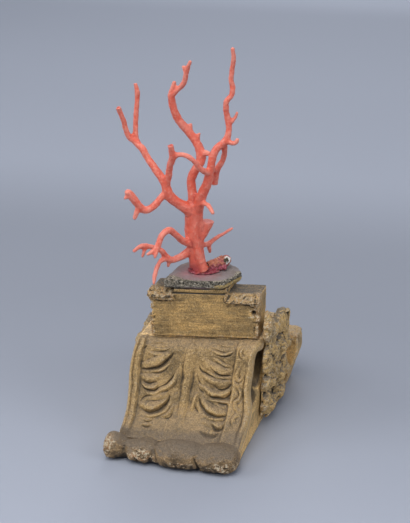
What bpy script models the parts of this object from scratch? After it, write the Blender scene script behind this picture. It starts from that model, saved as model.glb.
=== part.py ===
"""A branch of red coral on a fragment of a carved and gilt wooden console.

Metres, +Z up. The origin is on the resting face, straight under the foot of the coral.
The console's leaf-carved front faces -Y. Sizes below are in millimetres unless said otherwise.
"""

import math

import bmesh
import bpy
from mathutils import Matrix, Vector

MM = 0.001
GAP = 0.35  # clearance between neighbouring pieces
ROD_GAP = 0.4  # the same between coral rods, whose flat sides lie closer than their edges
WALL_GAP = 0.9  # between the console's sides and the garlands, which aren't quite parallel

# ---------------------------------------------------------------- driving dimensions
SLAB_TOP = 130.0  # height of the shelf that the coral stands on
SLAB_THICK = 8.4
BLOCK_TOP = SLAB_TOP - SLAB_THICK - GAP
BLOCK_FOOT = 81.8
BLOCK_LEFT = -35.3
BLOCK_RIGHT = 44.0
BLOCK_FRONT = -16.2
BLOCK_BACK = 9.0
BODY_LEFT = -45.5
BODY_RIGHT = 47.5
BODY_BACK = 69.0
SHOULDER = BLOCK_FOOT - GAP  # height of the console under the block
PANEL_MIDDLE = (BODY_LEFT + BODY_RIGHT) / 2

# The carved front of the console, from under the block to the foot, as (y, z).
PANEL_PROFILE = [
    (-8.0, SHOULDER - 0.3),
    (-15.5, SHOULDER - 0.6),
    (-20.5, 78.0),
    (-23.8, 72.0),
    (-26.6, 60.0),
    (-30.0, 50.0),
    (-34.6, 40.0),
    (-40.4, 30.0),
    (-49.0, 22.5),
    (-60.0, 18.5),
]
PANEL_THICK = 9.0
FIELD_DEPTH = 3.2  # how far the leaf-carved field lies behind the rails
RIB_X = -4.7  # the rib is carved left of the middle
RIB_HALF = 5.5

# How far the old carving is out of true, in degrees, and millimetres for the foot.
YAW_SCROLL = 7.5
YAW_FOOT = -4.5
SPLAY = 6.3
FOOT_LEAN = -3.0
LEFT_SWELL = -2.6

# ---------------------------------------------------------------- finishes
GILT = ("gilding", (0.38, 0.27, 0.11, 1), 0.45, 0.55)
SHELF = ("shelf", (0.24, 0.2, 0.17, 1), 0.8, 0.0)
CORAL = ("coral", (0.62, 0.12, 0.07, 1), 0.38, 0.0)
CRUST = ("crust", (0.45, 0.22, 0.16, 1), 0.85, 0.0)
WAX = ("wax", (0.32, 0.03, 0.05, 1), 0.45, 0.0)


def material_of(finish):
    name, colour, roughness, metallic = finish
    material = bpy.data.materials.get(name)
    if material is None:
        material = bpy.data.materials.new(name)
        material.use_nodes = True
        shader = material.node_tree.nodes["Principled BSDF"]
        shader.inputs["Base Color"].default_value = colour
        shader.inputs["Roughness"].default_value = roughness
        shader.inputs["Metallic"].default_value = metallic
        material.diffuse_color = colour
    return material


# ---------------------------------------------------------------- helpers
def clamp(value, low=0.0, high=1.0):
    return max(low, min(high, value))


def smoothstep(low, high, value):
    t = clamp((value - low) / (high - low))
    return t * t * (3 - 2 * t)


def catmull(route, step):
    """Points about one step apart on a smooth curve through the route, each with all its values."""
    count = len(route)
    tangents = []
    for i in range(count):
        before, after = route[max(i - 1, 0)], route[min(i + 1, count - 1)]
        tangents.append([(b - a) / 2 for a, b in zip(before, after)])
    points = []
    for i in range(count - 1):
        length = math.dist(route[i][:3], route[i + 1][:3])
        pieces = max(1, round(length / step))
        for k in range(pieces):
            t = k / pieces
            h00, h10 = (1 + 2 * t) * (1 - t) ** 2, t * (1 - t) ** 2
            h01, h11 = t * t * (3 - 2 * t), t * t * (t - 1)
            points.append(
                [
                    h00 * p + h10 * m + h01 * q + h11 * n
                    for p, m, q, n in zip(route[i], tangents[i], route[i + 1], tangents[i + 1])
                ]
            )
    points.append(list(route[-1]))
    return points


def add_object(name, mesh, finish, collection):
    made = bpy.data.objects.new(name, mesh)
    made.data.materials.append(material_of(finish))
    collection.objects.link(made)
    return made


def mesh_of(name, bm):
    bmesh.ops.recalc_face_normals(bm, faces=bm.faces[:])
    mesh = bpy.data.meshes.new(name)
    bm.to_mesh(mesh)
    bm.free()
    mesh.shade_smooth()
    mesh.set_sharp_from_angle(angle=math.radians(40))
    return mesh


def curve_to_mesh(name, curve):
    """The closed mesh of a curve, with its caps welded to its sides."""
    holder = bpy.data.objects.new(name, curve)
    bpy.context.scene.collection.objects.link(holder)
    graph = bpy.context.evaluated_depsgraph_get()
    mesh = bpy.data.meshes.new_from_object(holder.evaluated_get(graph))
    bm = bmesh.new()
    bm.from_mesh(mesh)
    bmesh.ops.remove_doubles(bm, verts=bm.verts[:], dist=0.00001)
    bpy.data.objects.remove(holder)
    return mesh_of(name, bm)


THIN = 3.9  # rods up to this radius have eight sides, the thicker ones twelve


def tube_mesh(name, route, extra=0.0, step=6.0, bevel_resolution=None, tip=True):
    """A closed tapering rod along a route of (x, y, z, radius), rounded at its far end."""
    points = catmull(route, step)
    if bevel_resolution is None:
        bevel_resolution = 1 if max(point[3] for point in route[1:]) < THIN else 2
    last, before = Vector(points[-1][:3]), Vector(points[-2][:3])
    ahead, radius = (last - before).normalized(), points[-1][3]
    if tip:
        for along, share in ((0.45, 0.85), (0.8, 0.45)):
            points.append([*(last + ahead * (radius * along + extra)), radius * share])
    elif extra:
        points.append([*(last + ahead * extra), radius])
    if extra:
        first, second = Vector(points[0][:3]), Vector(points[1][:3])
        points.insert(0, [*(first - (second - first).normalized() * extra), points[0][3]])
    curve = bpy.data.curves.new(name, "CURVE")
    curve.dimensions = "3D"
    curve.bevel_depth = MM
    curve.bevel_resolution = bevel_resolution
    curve.use_fill_caps = True
    spline = curve.splines.new("POLY")
    spline.points.add(len(points) - 1)
    for place, (x, y, z, radius) in zip(spline.points, points):
        place.co = (x * MM, y * MM, z * MM, 1)
        place.radius = radius + extra
    return curve_to_mesh(name, curve)


def board_mesh(name, outline, thickness, matrix):
    """A flat board of this outline, whose local +Z face is at its thickness, placed by a matrix."""
    curve = bpy.data.curves.new(name, "CURVE")
    curve.dimensions = "2D"
    curve.fill_mode = "BOTH"
    curve.extrude = thickness * MM / 2
    spline = curve.splines.new("POLY")
    spline.points.add(len(outline) - 1)
    spline.use_cyclic_u = True
    for place, (x, y) in zip(spline.points, outline):
        place.co = (x * MM, y * MM, 0, 1)
    mesh = curve_to_mesh(name, curve)
    mesh.transform(Matrix.Translation((0, 0, thickness * MM / 2)))
    mesh.transform(matrix)
    return mesh


def box_mesh(name, low, high):
    bm = bmesh.new()
    bmesh.ops.create_cube(bm, size=1)
    middle = [(a + b) / 2 * MM for a, b in zip(low, high)]
    sides = [(b - a) * MM for a, b in zip(low, high)]
    bmesh.ops.scale(bm, vec=sides, verts=bm.verts[:])
    bmesh.ops.translate(bm, vec=middle, verts=bm.verts[:])
    return mesh_of(name, bm)


def out_of_true(x, y, z):
    """Where a point of the straight console lies in the old, twisted and splayed one."""
    yaw = YAW_FOOT + (YAW_SCROLL - YAW_FOOT) * smoothstep(-65, -45, y)
    front = 1 - smoothstep(0, 60, y)
    swell = LEFT_SWELL * math.exp(-(((z - 57) / 17) ** 2)) * clamp((PANEL_MIDDLE - x) / 45) * front
    return (
        x + math.tan(math.radians(SPLAY)) * (y + 45) + FOOT_LEAN * (1 - clamp(z / SHOULDER)) + swell,
        y + front * (x - PANEL_MIDDLE) * math.tan(math.radians(yaw)),
        z,
    )


def twist(mesh):
    for vert in mesh.vertices:
        place = out_of_true(*(vert.co / MM))
        vert.co = Vector(place) * MM
    mesh.update()
    return mesh


def combine(made, operation, tools, collection):
    """A Boolean of made with every mesh in tools, which become hidden helpers."""
    group = bpy.data.collections.new(f"{made.name} {operation.lower()}")
    collection.children.link(group)
    for tool in tools:
        helper = bpy.data.objects.new(tool.name, tool)
        helper.hide_render = True
        helper.display_type = "WIRE"
        group.objects.link(helper)
    modifier = made.modifiers.new(operation.title(), "BOOLEAN")
    modifier.operation = operation
    modifier.operand_type = "COLLECTION"
    modifier.collection = group
    modifier.solver = "EXACT"
    return made


# ---------------------------------------------------------------- the coral
# Routes of (x, y, z, radius), each from inside the branch that it grows from to its own tip.
CORAL_ROUTES = {
    "trunk": [
        (0.0, 0.0, SLAB_TOP - 5.0, 8.6),
        (0.0, 0.0, SLAB_TOP + 1.0, 7.3),
        (1.0, 0.0, 137.0, 6.0),
        (0.0, 0.0, 147.0, 5.7),
        (-1.5, 0.0, 156.0, 6.2),
        (-2.0, 0.0, 166.0, 6.5),
        (-1.5, -1.0, 176.0, 6.2),
        (-1.0, -1.0, 183.0, 5.0),
    ],
    "cut stub": [(1.0, 0.5, 157.0, 3.8), (4.0, 3.0, 162.5, 3.6), (7.0, 6.0, 168.5, 4.0)],
    "drooping stub": [
        (1.0, -2.0, 186.0, 2.2),
        (8.5, -8.0, 187.2, 1.6),
        (11.8, -11.0, 185.5, 1.5),
        (14.0, -13.0, 183.0, 1.3),
    ],
    "left limb": [
        (-2.0, -1.0, 174.0, 4.2),
        (-7.0, -4.0, 181.0, 4.4),
        (-13.0, -7.0, 186.0, 3.8),
        (-18.5, -10.0, 192.0, 3.7),
        (-20.5, -11.0, 198.0, 3.5),
        (-22.0, -11.0, 203.0, 3.1),
        (-26.0, -10.0, 208.0, 2.9),
        (-32.0, -8.0, 215.0, 2.6),
        (-36.0, -6.0, 219.5, 2.5),
        (-39.5, -5.0, 225.0, 2.5),
        (-44.0, -3.0, 229.0, 2.3),
        (-45.5, -1.0, 235.5, 1.85),
        (-45.5, 1.0, 247.0, 1.8),
        (-44.5, 2.0, 259.0, 1.8),
        (-44.3, 2.0, 265.0, 1.75),
        (-45.8, 2.0, 272.0, 1.3),
    ],
    "left short tip": [
        (-42.5, -3.5, 228.0, 2.2),
        (-49.0, -4.0, 232.5, 1.95),
        (-51.5, -5.0, 238.5, 1.9),
        (-52.5, -6.0, 244.5, 1.8),
        (-54.5, -8.0, 252.0, 1.8),
        (-55.5, -10.0, 257.0, 1.6),
    ],
    "inner twig": [
        (-21.0, -11.0, 199.5, 2.7),
        (-18.5, -13.0, 209.5, 2.4),
        (-17.0, -15.0, 217.0, 2.3),
        (-14.5, -17.0, 224.0, 2.4),
        (-14.7, -19.0, 230.5, 2.1),
        (-15.2, -20.0, 235.0, 2.1),
    ],
    "arch": [
        (-14.7, -17.0, 223.0, 2.1),
        (-10.0, -18.0, 227.0, 1.7),
        (-4.0, -18.0, 226.5, 1.65),
        (0.7, -17.0, 223.0, 1.75),
        (4.2, -14.0, 217.0, 1.9),
        (7.5, -10.0, 213.0, 2.1),
        (9.5, -6.0, 211.0, 2.3),
    ],
    "left low": [
        (-19.0, -10.5, 196.5, 2.8),
        (-24.5, -13.0, 191.5, 2.5),
        (-27.5, -15.0, 187.5, 2.5),
        (-32.0, -18.0, 184.0, 2.5),
        (-36.0, -20.0, 184.3, 2.6),
        (-39.2, -22.0, 188.5, 2.8),
        (-42.5, -24.0, 194.5, 2.8),
        (-45.5, -25.0, 198.5, 2.6),
    ],
    "left low drop": [(-38.5, -21.5, 188.0, 2.0), (-39.8, -23.0, 184.0, 1.8), (-41.2, -24.0, 178.8, 1.4)],
    "left low bump": [(-44.0, -24.5, 197.0, 2.0), (-47.5, -26.5, 194.5, 1.2)],
    "centre": [
        (-1.2, -1.0, 180.0, 4.4),
        (-3.5, 0.0, 187.5, 3.6),
        (-5.0, 2.0, 195.0, 3.2),
        (-5.7, 4.0, 201.0, 3.2),
        (-3.5, 5.0, 207.4, 3.2),
        (0.0, 6.0, 212.5, 3.3),
        (1.0, 7.0, 218.5, 3.5),
        (-1.0, 8.0, 225.0, 3.1),
        (-5.5, 9.0, 232.0, 3.0),
        (-10.0, 9.0, 237.2, 3.0),
        (-14.7, 8.0, 243.0, 2.9),
        (-17.7, 7.0, 249.0, 2.8),
        (-19.6, 6.0, 255.7, 2.6),
        (-20.2, 5.0, 263.0, 2.4),
        (-19.0, 5.0, 268.5, 1.8),
        (-17.9, 5.0, 272.5, 1.2),
    ],
    "centre long tip": [
        (-20.3, 5.2, 262.5, 2.0),
        (-15.7, 4.0, 267.5, 1.8),
        (-12.0, 3.0, 271.0, 1.8),
        (-9.4, 2.0, 275.2, 1.8),
        (-8.2, 1.0, 281.0, 1.9),
        (-6.7, 0.0, 285.6, 1.6),
        (-5.1, -1.0, 289.5, 1.2),
    ],
    "centre small tip": [(-8.2, 1.0, 280.5, 1.6), (-10.3, 1.5, 285.0, 1.1)],
    "centre spur": [(-8.0, 9.0, 235.0, 2.2), (-7.0, 9.5, 241.0, 1.2)],
    "centre bud": [(-2.5, 8.5, 229.0, 2.0), (-0.8, 9.5, 234.5, 0.9)],
    "centre stub": [(0.5, 7.0, 219.5, 3.0), (4.5, 5.5, 221.5, 2.3), (7.2, 4.5, 221.5, 1.8)],
    "right": [
        (0.0, -1.5, 180.5, 4.2),
        (3.0, -3.0, 190.5, 3.8),
        (6.5, -4.0, 198.3, 3.5),
        (9.0, -5.0, 205.7, 3.2),
        (10.1, -5.0, 212.0, 2.9),
        (11.5, -5.0, 219.5, 2.8),
        (12.8, -4.0, 225.3, 2.7),
        (15.5, -3.0, 229.5, 2.6),
        (20.0, -2.0, 233.5, 2.6),
        (22.2, -1.0, 238.5, 2.2),
        (22.5, 0.0, 244.5, 2.15),
        (21.2, 0.0, 252.0, 2.1),
        (20.6, -1.0, 258.7, 1.95),
        (21.2, -1.0, 263.0, 1.85),
        (24.3, 0.0, 267.0, 1.85),
        (24.8, 1.0, 272.5, 1.9),
        (23.7, 1.0, 278.5, 1.8),
        (24.3, 1.0, 284.5, 1.7),
        (25.5, 0.0, 292.6, 1.65),
        (25.0, -1.0, 300.5, 1.35),
    ],
    "right knob": [
        (20.5, -2.0, 234.0, 1.9),
        (25.5, -2.5, 233.0, 1.5),
        (28.3, -3.0, 233.6, 1.6),
        (29.3, -3.0, 236.0, 1.4),
    ],
    "right spur": [
        (22.3, 0.0, 247.0, 1.8),
        (25.0, 1.0, 248.2, 1.3),
        (27.0, 1.5, 250.7, 1.2),
        (28.0, 2.0, 254.0, 0.9),
    ],
    "right strand": [
        (19.5, -2.0, 233.0, 2.2),
        (19.3, 2.0, 224.5, 1.9),
        (17.4, 4.0, 217.0, 1.9),
        (13.8, 4.0, 211.3, 2.2),
        (12.0, 5.0, 205.5, 2.6),
        (10.8, 6.0, 197.5, 2.6),
    ],
    "strand bridge": [(10.8, -4.0, 213.0, 2.0), (12.6, 1.0, 210.5, 1.8), (13.4, 4.0, 210.3, 1.8)],
    "low arm": [
        (-2.0, -1.0, 151.0, 3.0),
        (-6.0, -4.0, 154.0, 2.8),
        (-9.5, -8.0, 157.0, 2.5),
        (-13.5, -13.0, 163.4, 2.4),
        (-17.0, -18.0, 169.0, 2.4),
        (-20.3, -22.0, 168.0, 2.3),
        (-23.0, -25.0, 163.0, 2.2),
        (-24.6, -27.0, 157.5, 2.2),
        (-27.7, -29.0, 155.6, 1.6),
        (-30.2, -31.0, 154.2, 1.1),
    ],
    "low arm twig": [(-24.3, -26.5, 158.5, 1.9), (-24.4, -29.0, 155.0, 1.4), (-25.2, -30.5, 152.0, 1.0)],
    "low sweep": [
        (-2.0, 0.0, 150.0, 3.6),
        (-6.6, -1.5, 146.5, 3.1),
        (-9.8, -4.0, 144.0, 2.7),
        (-15.2, -7.0, 141.5, 2.5),
        (-19.3, -9.0, 141.6, 2.4),
        (-22.4, -10.0, 144.5, 2.2),
        (-25.0, -12.0, 149.5, 2.0),
        (-28.6, -14.0, 151.7, 1.9),
        (-33.0, -17.0, 154.2, 1.75),
        (-37.5, -20.0, 155.5, 1.7),
        (-43.0, -23.0, 152.3, 1.1),
    ],
    "low sweep twig": [(-34.0, -17.5, 154.6, 1.6), (-36.0, -20.0, 151.6, 1.3), (-37.1, -21.0, 147.5, 0.9)],
    "low sweep drop": [
        (-21.0, -9.5, 142.8, 2.0),
        (-25.0, -14.0, 142.0, 1.7),
        (-26.8, -19.0, 138.4, 1.6),
        (-27.7, -23.0, 133.6, 1.6),
        (-27.6, -25.5, 129.0, 1.2),
    ],
    "low sweep spur": [(-20.2, -9.0, 141.5, 1.6), (-20.4, -10.0, 136.8, 0.9)],
    "back twig": [
        (0.5, 1.0, 150.5, 2.3),
        (3.0, 5.0, 149.4, 2.0),
        (6.3, 10.0, 148.8, 1.8),
        (11.0, 13.0, 152.5, 1.4),
        (16.6, 16.0, 155.4, 1.2),
        (22.4, 19.0, 159.0, 0.8),
    ],
    "back twig drop": [(6.0, 9.5, 149.0, 1.9), (6.8, 11.0, 141.5, 1.1)],
}

# Each piece between two main forks: its routes, and the routes of the pieces that it must clear.
CORAL_PIECES = {
    "coral_trunk": (["trunk", "cut stub", "drooping stub"], []),
    "coral_left_branch": (["left limb", "left short tip"], ["trunk"]),
    "coral_inner_twig": (["inner twig", "arch"], ["left limb", "right"]),
    "coral_left_low_branch": (["left low", "left low drop", "left low bump"], ["left limb"]),
    "coral_centre_branch": (
        ["centre", "centre long tip", "centre small tip", "centre spur", "centre bud", "centre stub"],
        ["trunk", "drooping stub", "left limb"],
    ),
    "coral_right_branch": (
        ["right", "right knob", "right spur", "right strand", "strand bridge"],
        ["trunk", "centre", "drooping stub", "left limb"],
    ),
    "coral_low_arm": (["low arm", "low arm twig"], ["trunk"]),
    "coral_low_sweep": (
        ["low sweep", "low sweep twig", "low sweep drop", "low sweep spur"],
        ["trunk", "low arm"],
    ),
    "coral_back_twig": (["back twig", "back twig drop"], ["trunk", "low sweep"]),
}
BROKEN_ENDS = ("cut stub", "right strand", "left short tip", "inner twig", "arch")


def sleeve_mesh(name, route):
    """A rod of the coral fattened by the gap, to cut its neighbour clear of it."""
    tip = route not in BROKEN_ENDS
    return tube_mesh(f"{name} clear of {route}", CORAL_ROUTES[route], extra=ROD_GAP, tip=tip)


def make_coral(parts, helpers):
    for name, (routes, neighbours) in CORAL_PIECES.items():
        rods = [tube_mesh(f"{name} {r}", CORAL_ROUTES[r], tip=r not in BROKEN_ENDS) for r in routes]
        branch = add_object(name, rods[0], CORAL, parts)
        if rods[1:]:
            combine(branch, "UNION", rods[1:], helpers)
        sleeves = [sleeve_mesh(name, r) for r in neighbours]
        if name == "coral_trunk":
            sleeves = [box_mesh("shelf", (-40, -40, SLAB_TOP - 30), (40, 40, SLAB_TOP + GAP))]
        combine(branch, "DIFFERENCE", sleeves, helpers)


# ---------------------------------------------------------------- what the foot stands in
CRUST_ROUTE = [
    (7.8, 4.0, 133.6, 3.2),
    (12.0, 6.0, 134.6, 4.2),
    (17.0, 8.5, 135.2, 4.8),
    (21.5, 10.5, 135.8, 5.3),
    (24.0, 11.5, 138.5, 4.6),
]
CRUST_LUMPS = [
    (11.0, 2.5, 132.5, 2.6),
    (16.5, 3.5, 132.8, 2.8),
    (21.0, 5.5, 133.4, 3.2),
    (19.0, 10.0, 139.2, 2.6),
]
WAX_OUTLINE = [
    (-14.0, 1.5),
    (-12.0, -4.5),
    (-6.5, -9.0),
    (1.0, -10.0),
    (7.5, -8.0),
    (11.5, -3.5),
    (11.0, 3.0),
    (6.0, 9.0),
    (-3.0, 9.5),
    (-10.0, 6.5),
]
WAX_HEIGHT = 2.2
WAX_SLOPE = 0.82  # the top of the pool is this share of its foot
LUMP_GAP = 1.4 * GAP  # facets of a fattened lump lie closer than its corners


def lump_meshes(name, extra=0.0):
    lumps = []
    for i, (x, y, z, radius) in enumerate(CRUST_LUMPS):
        bm = bmesh.new()
        bmesh.ops.create_icosphere(bm, subdivisions=1, radius=(radius + extra) * MM)
        bmesh.ops.translate(bm, vec=Vector((x, y, z)) * MM, verts=bm.verts[:])
        lumps.append(mesh_of(f"{name} {i}", bm))
    return lumps


def make_foot(parts, helpers):
    """The lump of the sea bed that the coral grew on, and the red wax that holds both down."""
    floor = SLAB_TOP + GAP
    crust = add_object("foot_crust", tube_mesh("foot_crust", CRUST_ROUTE, step=4.0), CRUST, parts)
    combine(crust, "UNION", lump_meshes("crust lump"), helpers)
    under = box_mesh("under the crust", (-10, -20, floor - 20), (50, 40, floor))
    combine(crust, "DIFFERENCE", [under, sleeve_mesh("foot_crust", "trunk")], helpers)

    pool = board_mesh("wax_pool", WAX_OUTLINE, WAX_HEIGHT, Matrix.Translation((0, 0, floor * MM)))
    for vert in pool.vertices:
        if vert.co.z > (floor + WAX_HEIGHT / 2) * MM:
            vert.co.x, vert.co.y = vert.co.x * WAX_SLOPE, vert.co.y * WAX_SLOPE
    wax = add_object("wax_pool", pool, WAX, parts)
    fat_crust = tube_mesh("wax clear of crust", CRUST_ROUTE, extra=LUMP_GAP, step=4.0)
    around = [sleeve_mesh("wax_pool", "trunk"), fat_crust, *lump_meshes("wax clear of lump", LUMP_GAP)]
    combine(wax, "DIFFERENCE", around, helpers)


# ---------------------------------------------------------------- the shelf and the block
SLAB_OUTLINE = [
    (-20.5, -18.5),
    (-14.0, -23.0),
    (0.0, -23.0),
    (11.5, -21.0),
    (19.5, -16.0),
    (26.0, -6.5),
    (32.0, 5.0),
    (28.0, 13.5),
    (20.5, 18.5),
    (-11.0, 15.5),
    (-16.0, 9.5),
    (-19.0, -6.0),
]
SLAB_EDGE = 4.6  # height of the upright edge over the hollow moulding
SLAB_HOLLOW = 5.5
LEDGE_DEPTH = 4.0
LEDGE_DROP = 9.0
STEP_X = 20.5  # right of here the block's top is broken down
STEP_TOP = 117.6


def make_slab(parts):
    """The last piece of the cornice: a board with a hollow moulding under its front edge."""
    raised = Matrix.Translation((0, 0, (SLAB_TOP - SLAB_EDGE) * MM))
    mesh = board_mesh("cornice_slab", SLAB_OUTLINE, SLAB_EDGE, raised)
    bm = bmesh.new()
    bm.from_mesh(mesh)
    under = [f for f in bm.faces if f.normal.z < -0.5]
    lower = bmesh.ops.extrude_face_region(bm, geom=under)["geom"]
    bmesh.ops.delete(bm, geom=under, context="FACES")
    verts = [v for v in lower if isinstance(v, bmesh.types.BMVert)]
    for vert in verts:
        pull = SLAB_HOLLOW * (1 - smoothstep(-18, 4, vert.co.y / MM))
        vert.co.z = (SLAB_TOP - SLAB_THICK) * MM
        vert.co.y += pull * MM
        vert.co.x -= (pull + 2.0) * MM * smoothstep(10, 32, vert.co.x / MM)
    add_object("cornice_slab", mesh_of("cornice_slab", bm), SHELF, parts)


def make_block(parts, helpers):
    """The plain block between the scroll and the cornice, with what is left of its ledge."""
    low, right = BLOCK_FRONT, BLOCK_RIGHT
    body = twist(box_mesh("top_block", (BLOCK_LEFT, low, BLOCK_FOOT), (right, BLOCK_BACK, STEP_TOP)))
    block = add_object("top_block", body, GILT, parts)
    raised = box_mesh("raised top", (BLOCK_LEFT, low, STEP_TOP - 3), (STEP_X, BLOCK_BACK + 4, BLOCK_TOP))
    out = low - LEDGE_DEPTH
    drop = BLOCK_TOP - LEDGE_DROP
    left_ledge = box_mesh("left ledge", (BLOCK_LEFT - 1.5, out, drop), (-22, low + 6, BLOCK_TOP))
    right_ledge = box_mesh("right ledge", (STEP_X - 1, out, STEP_TOP - 6), (right + 1, low + 6, STEP_TOP))
    combine(block, "UNION", [twist(m) for m in (raised, left_ledge, right_ledge)], helpers)


# ---------------------------------------------------------------- the console
def panel_frames(step):
    """Points down the front as (y, z, outward y, outward z, distance from the top)."""
    points = catmull([(y, z, 0.0) for y, z in PANEL_PROFILE], step)
    frames, along = [], 0.0
    for i, point in enumerate(points):
        a, b = points[max(i - 1, 0)], points[min(i + 1, len(points) - 1)]
        dy, dz = b[0] - a[0], b[1] - a[1]
        length = math.hypot(dy, dz)
        if i:
            along += math.dist(points[i - 1][:2], point[:2])
        frames.append((point[0], point[1], dz / length, -dy / length, along))
    return frames


# The section across the front, as (x from its middle, height over the face of the rails).
PANEL_SECTION = [
    (-46.5, -1.2),
    (-45.3, 0.0),
    (-41.0, 0.0),
    (-39.2, -FIELD_DEPTH),
    (-25.0, -FIELD_DEPTH),
    (RIB_X - RIB_HALF, -FIELD_DEPTH),
    (RIB_X - 3.0, -0.4),
    (RIB_X, -1.8),
    (RIB_X + 3.0, -0.4),
    (RIB_X + RIB_HALF, -FIELD_DEPTH),
    (15.0, -FIELD_DEPTH),
    (29.2, -FIELD_DEPTH),
    (31.0, -0.2),
    (40.6, -0.4),
    (41.6, -1.8),
    (42.8, 0.2),
    (46.5, -0.4),
]

ROLL_ROUTE = [
    (-52.5, -66.0, 9.8, 6.5),
    (-50.5, -66.0, 9.8, 9.6),
    (-45.0, -66.0, 10.1, 10.3),
    (-37.0, -66.0, 9.2, 8.6),
    (-29.0, -66.0, 9.8, 9.7),
    (-19.0, -66.0, 10.0, 10.0),
    (-11.0, -66.5, 9.9, 9.5),
    (-4.0, -67.5, 11.8, 11.9),
    (9.0, -68.0, 12.0, 12.2),
    (20.0, -67.5, 10.9, 10.6),
    (28.0, -66.8, 11.4, 11.6),
    (41.0, -66.5, 11.4, 11.4),
    (47.0, -66.5, 11.2, 10.2),
    (48.5, -66.5, 11.0, 6.5),
]
CORE_TOE = [(-62.0, 14.0), (-65.0, 7.0), (-65.0, 0.0)]
CORE_TOP = [(BODY_BACK, 47.0), (64.0, 62.0), (55.0, 73.0), (43.0, 79.5), (30.0, SHOULDER - 0.3)]
EYE = (-8.0, 57.0)  # the middle of the hollow in each side, as (y, z)
EYE_SIZE = (7.0, 10.5, 17.0)
EYE_TILT = -12.0

# The lobes of the leaves, each as (x from the middle, distance down the front, radius) from its
# tip beside the rib to its round end beside the rail.
LOBES = [
    [(-14.0, 8.0, 1.0), (-22.0, 11.5, 3.0), (-31.0, 11.0, 3.2), (-36.0, 8.0, 2.0)],
    [(-15.0, 19.5, 1.0), (-19.5, 23.5, 3.2), (-25.0, 27.5, 4.6), (-31.5, 29.0, 4.8), (-37.0, 28.5, 3.6)],
    [(-11.0, 29.5, 1.0), (-15.0, 35.0, 2.4), (-21.0, 41.5, 4.0), (-28.5, 45.0, 4.6), (-36.5, 43.0, 3.6)],
    [(-17.0, 50.0, 1.0), (-18.5, 55.5, 2.6), (-22.0, 59.5, 4.4), (-29.0, 60.0, 5.0), (-36.0, 59.0, 3.8)],
    [(-11.5, 59.0, 1.0), (-13.5, 66.5, 2.2), (-18.0, 71.5, 3.4), (-24.0, 74.5, 4.0), (-31.0, 72.0, 3.2)],
    [(5.0, 9.5, 1.0), (13.0, 15.5, 2.8), (20.0, 18.0, 3.4), (26.0, 15.0, 2.8)],
    [(1.5, 24.5, 1.0), (6.5, 29.0, 2.4), (13.0, 31.5, 4.2), (20.5, 33.5, 4.6), (27.0, 33.0, 3.4)],
    [(0.5, 37.5, 1.0), (8.5, 45.0, 2.8), (16.0, 49.0, 4.0), (24.0, 50.0, 4.2), (29.0, 47.0, 3.0)],
    [(6.0, 52.0, 1.0), (11.0, 57.5, 3.0), (18.0, 61.0, 4.5), (25.0, 62.5, 4.6), (29.5, 61.0, 3.4)],
    [(6.0, 63.0, 1.0), (14.0, 71.5, 3.0), (22.0, 77.0, 4.2), (29.0, 77.0, 4.2), (32.0, 71.5, 2.8)],
]


def on_panel(frames, across, along, height):
    """The place at this height over the field of the panel."""
    i = max(1, next((i for i, f in enumerate(frames) if f[4] >= along), len(frames) - 1))
    before, after = frames[i - 1], frames[i]
    t = (along - before[4]) / (after[4] - before[4])
    y, z, out_y, out_z = [a + (b - a) * t for a, b in zip(before[:4], after[:4])]
    height -= FIELD_DEPTH
    return PANEL_MIDDLE + across, y + out_y * height, z + out_z * height


def panel_mesh(frames):
    """The front sheet: the section of the rails, field and rib carried down the profile."""
    rows = len(frames) - 1
    bm = bmesh.new()
    bmesh.ops.create_grid(bm, x_segments=len(PANEL_SECTION) - 1, y_segments=rows, size=0.5)
    back = set(bm.verts)
    bmesh.ops.extrude_face_region(bm, geom=bm.faces[:])
    for vert in bm.verts:
        across, height = PANEL_SECTION[round((vert.co.x + 0.5) * (len(PANEL_SECTION) - 1))]
        y, z, out_y, out_z, along = frames[round((0.5 - vert.co.y) * rows)]
        kept = 1 - smoothstep(frames[-1][4] - 17, frames[-1][4] - 4, along)
        height = -PANEL_THICK if vert in back else -1.0 + (height + 1.0) * kept
        place = out_of_true(PANEL_MIDDLE + across, y + out_y * height, z + out_z * height)
        vert.co = Vector(place) * MM
    return mesh_of("front", bm)


def core_mesh(name, extra=-0.3):
    """The console behind its carved front, wider than the front by extra at both sides."""
    upright = Matrix(((0, 0, 1, (BODY_LEFT - extra) * MM), (1, 0, 0, 0), (0, 1, 0, 0), (0, 0, 0, 1)))
    front = [(y + 4.5, z - 2.5) for y, z in PANEL_PROFILE[2:-1]]
    outline = [(-10.0, SHOULDER - 0.3), *front, *CORE_TOE, (BODY_BACK, 0.0), *CORE_TOP]
    return twist(board_mesh(name, outline, BODY_RIGHT - BODY_LEFT + 2 * extra, upright))


def make_console(parts, helpers):
    """The scroll, carved from one piece with its rails, leaves and foot roll."""
    console = add_object("console_scroll", core_mesh("console_scroll"), GILT, parts)

    frames = panel_frames(4.8)
    lobes = []
    for i, lobe in enumerate(LOBES):
        route = [(*on_panel(frames, x, down, radius * 0.25), radius) for x, down, radius in lobe]
        lobes.append(twist(tube_mesh(f"lobe {i}", route, step=6.5)))
    roll = twist(tube_mesh("foot roll", ROLL_ROUTE, step=5.0, bevel_resolution=4, tip=False))
    combine(console, "UNION", [panel_mesh(frames), roll, *lobes], helpers)

    eyes = []
    for side in (BODY_LEFT, BODY_RIGHT):
        bm = bmesh.new()
        bmesh.ops.create_uvsphere(bm, u_segments=14, v_segments=8, radius=MM)
        bmesh.ops.scale(bm, vec=EYE_SIZE, verts=bm.verts[:])
        bmesh.ops.rotate(bm, matrix=Matrix.Rotation(math.radians(EYE_TILT), 3, "X"), verts=bm.verts[:])
        bmesh.ops.translate(bm, vec=Vector((side, *EYE)) * MM, verts=bm.verts[:])
        eyes.append(twist(mesh_of("volute hollow", bm)))
    floor = box_mesh("floor", (-90, -120, -30), (110, 120, 0))
    combine(console, "DIFFERENCE", [*eyes, floor], helpers)


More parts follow.
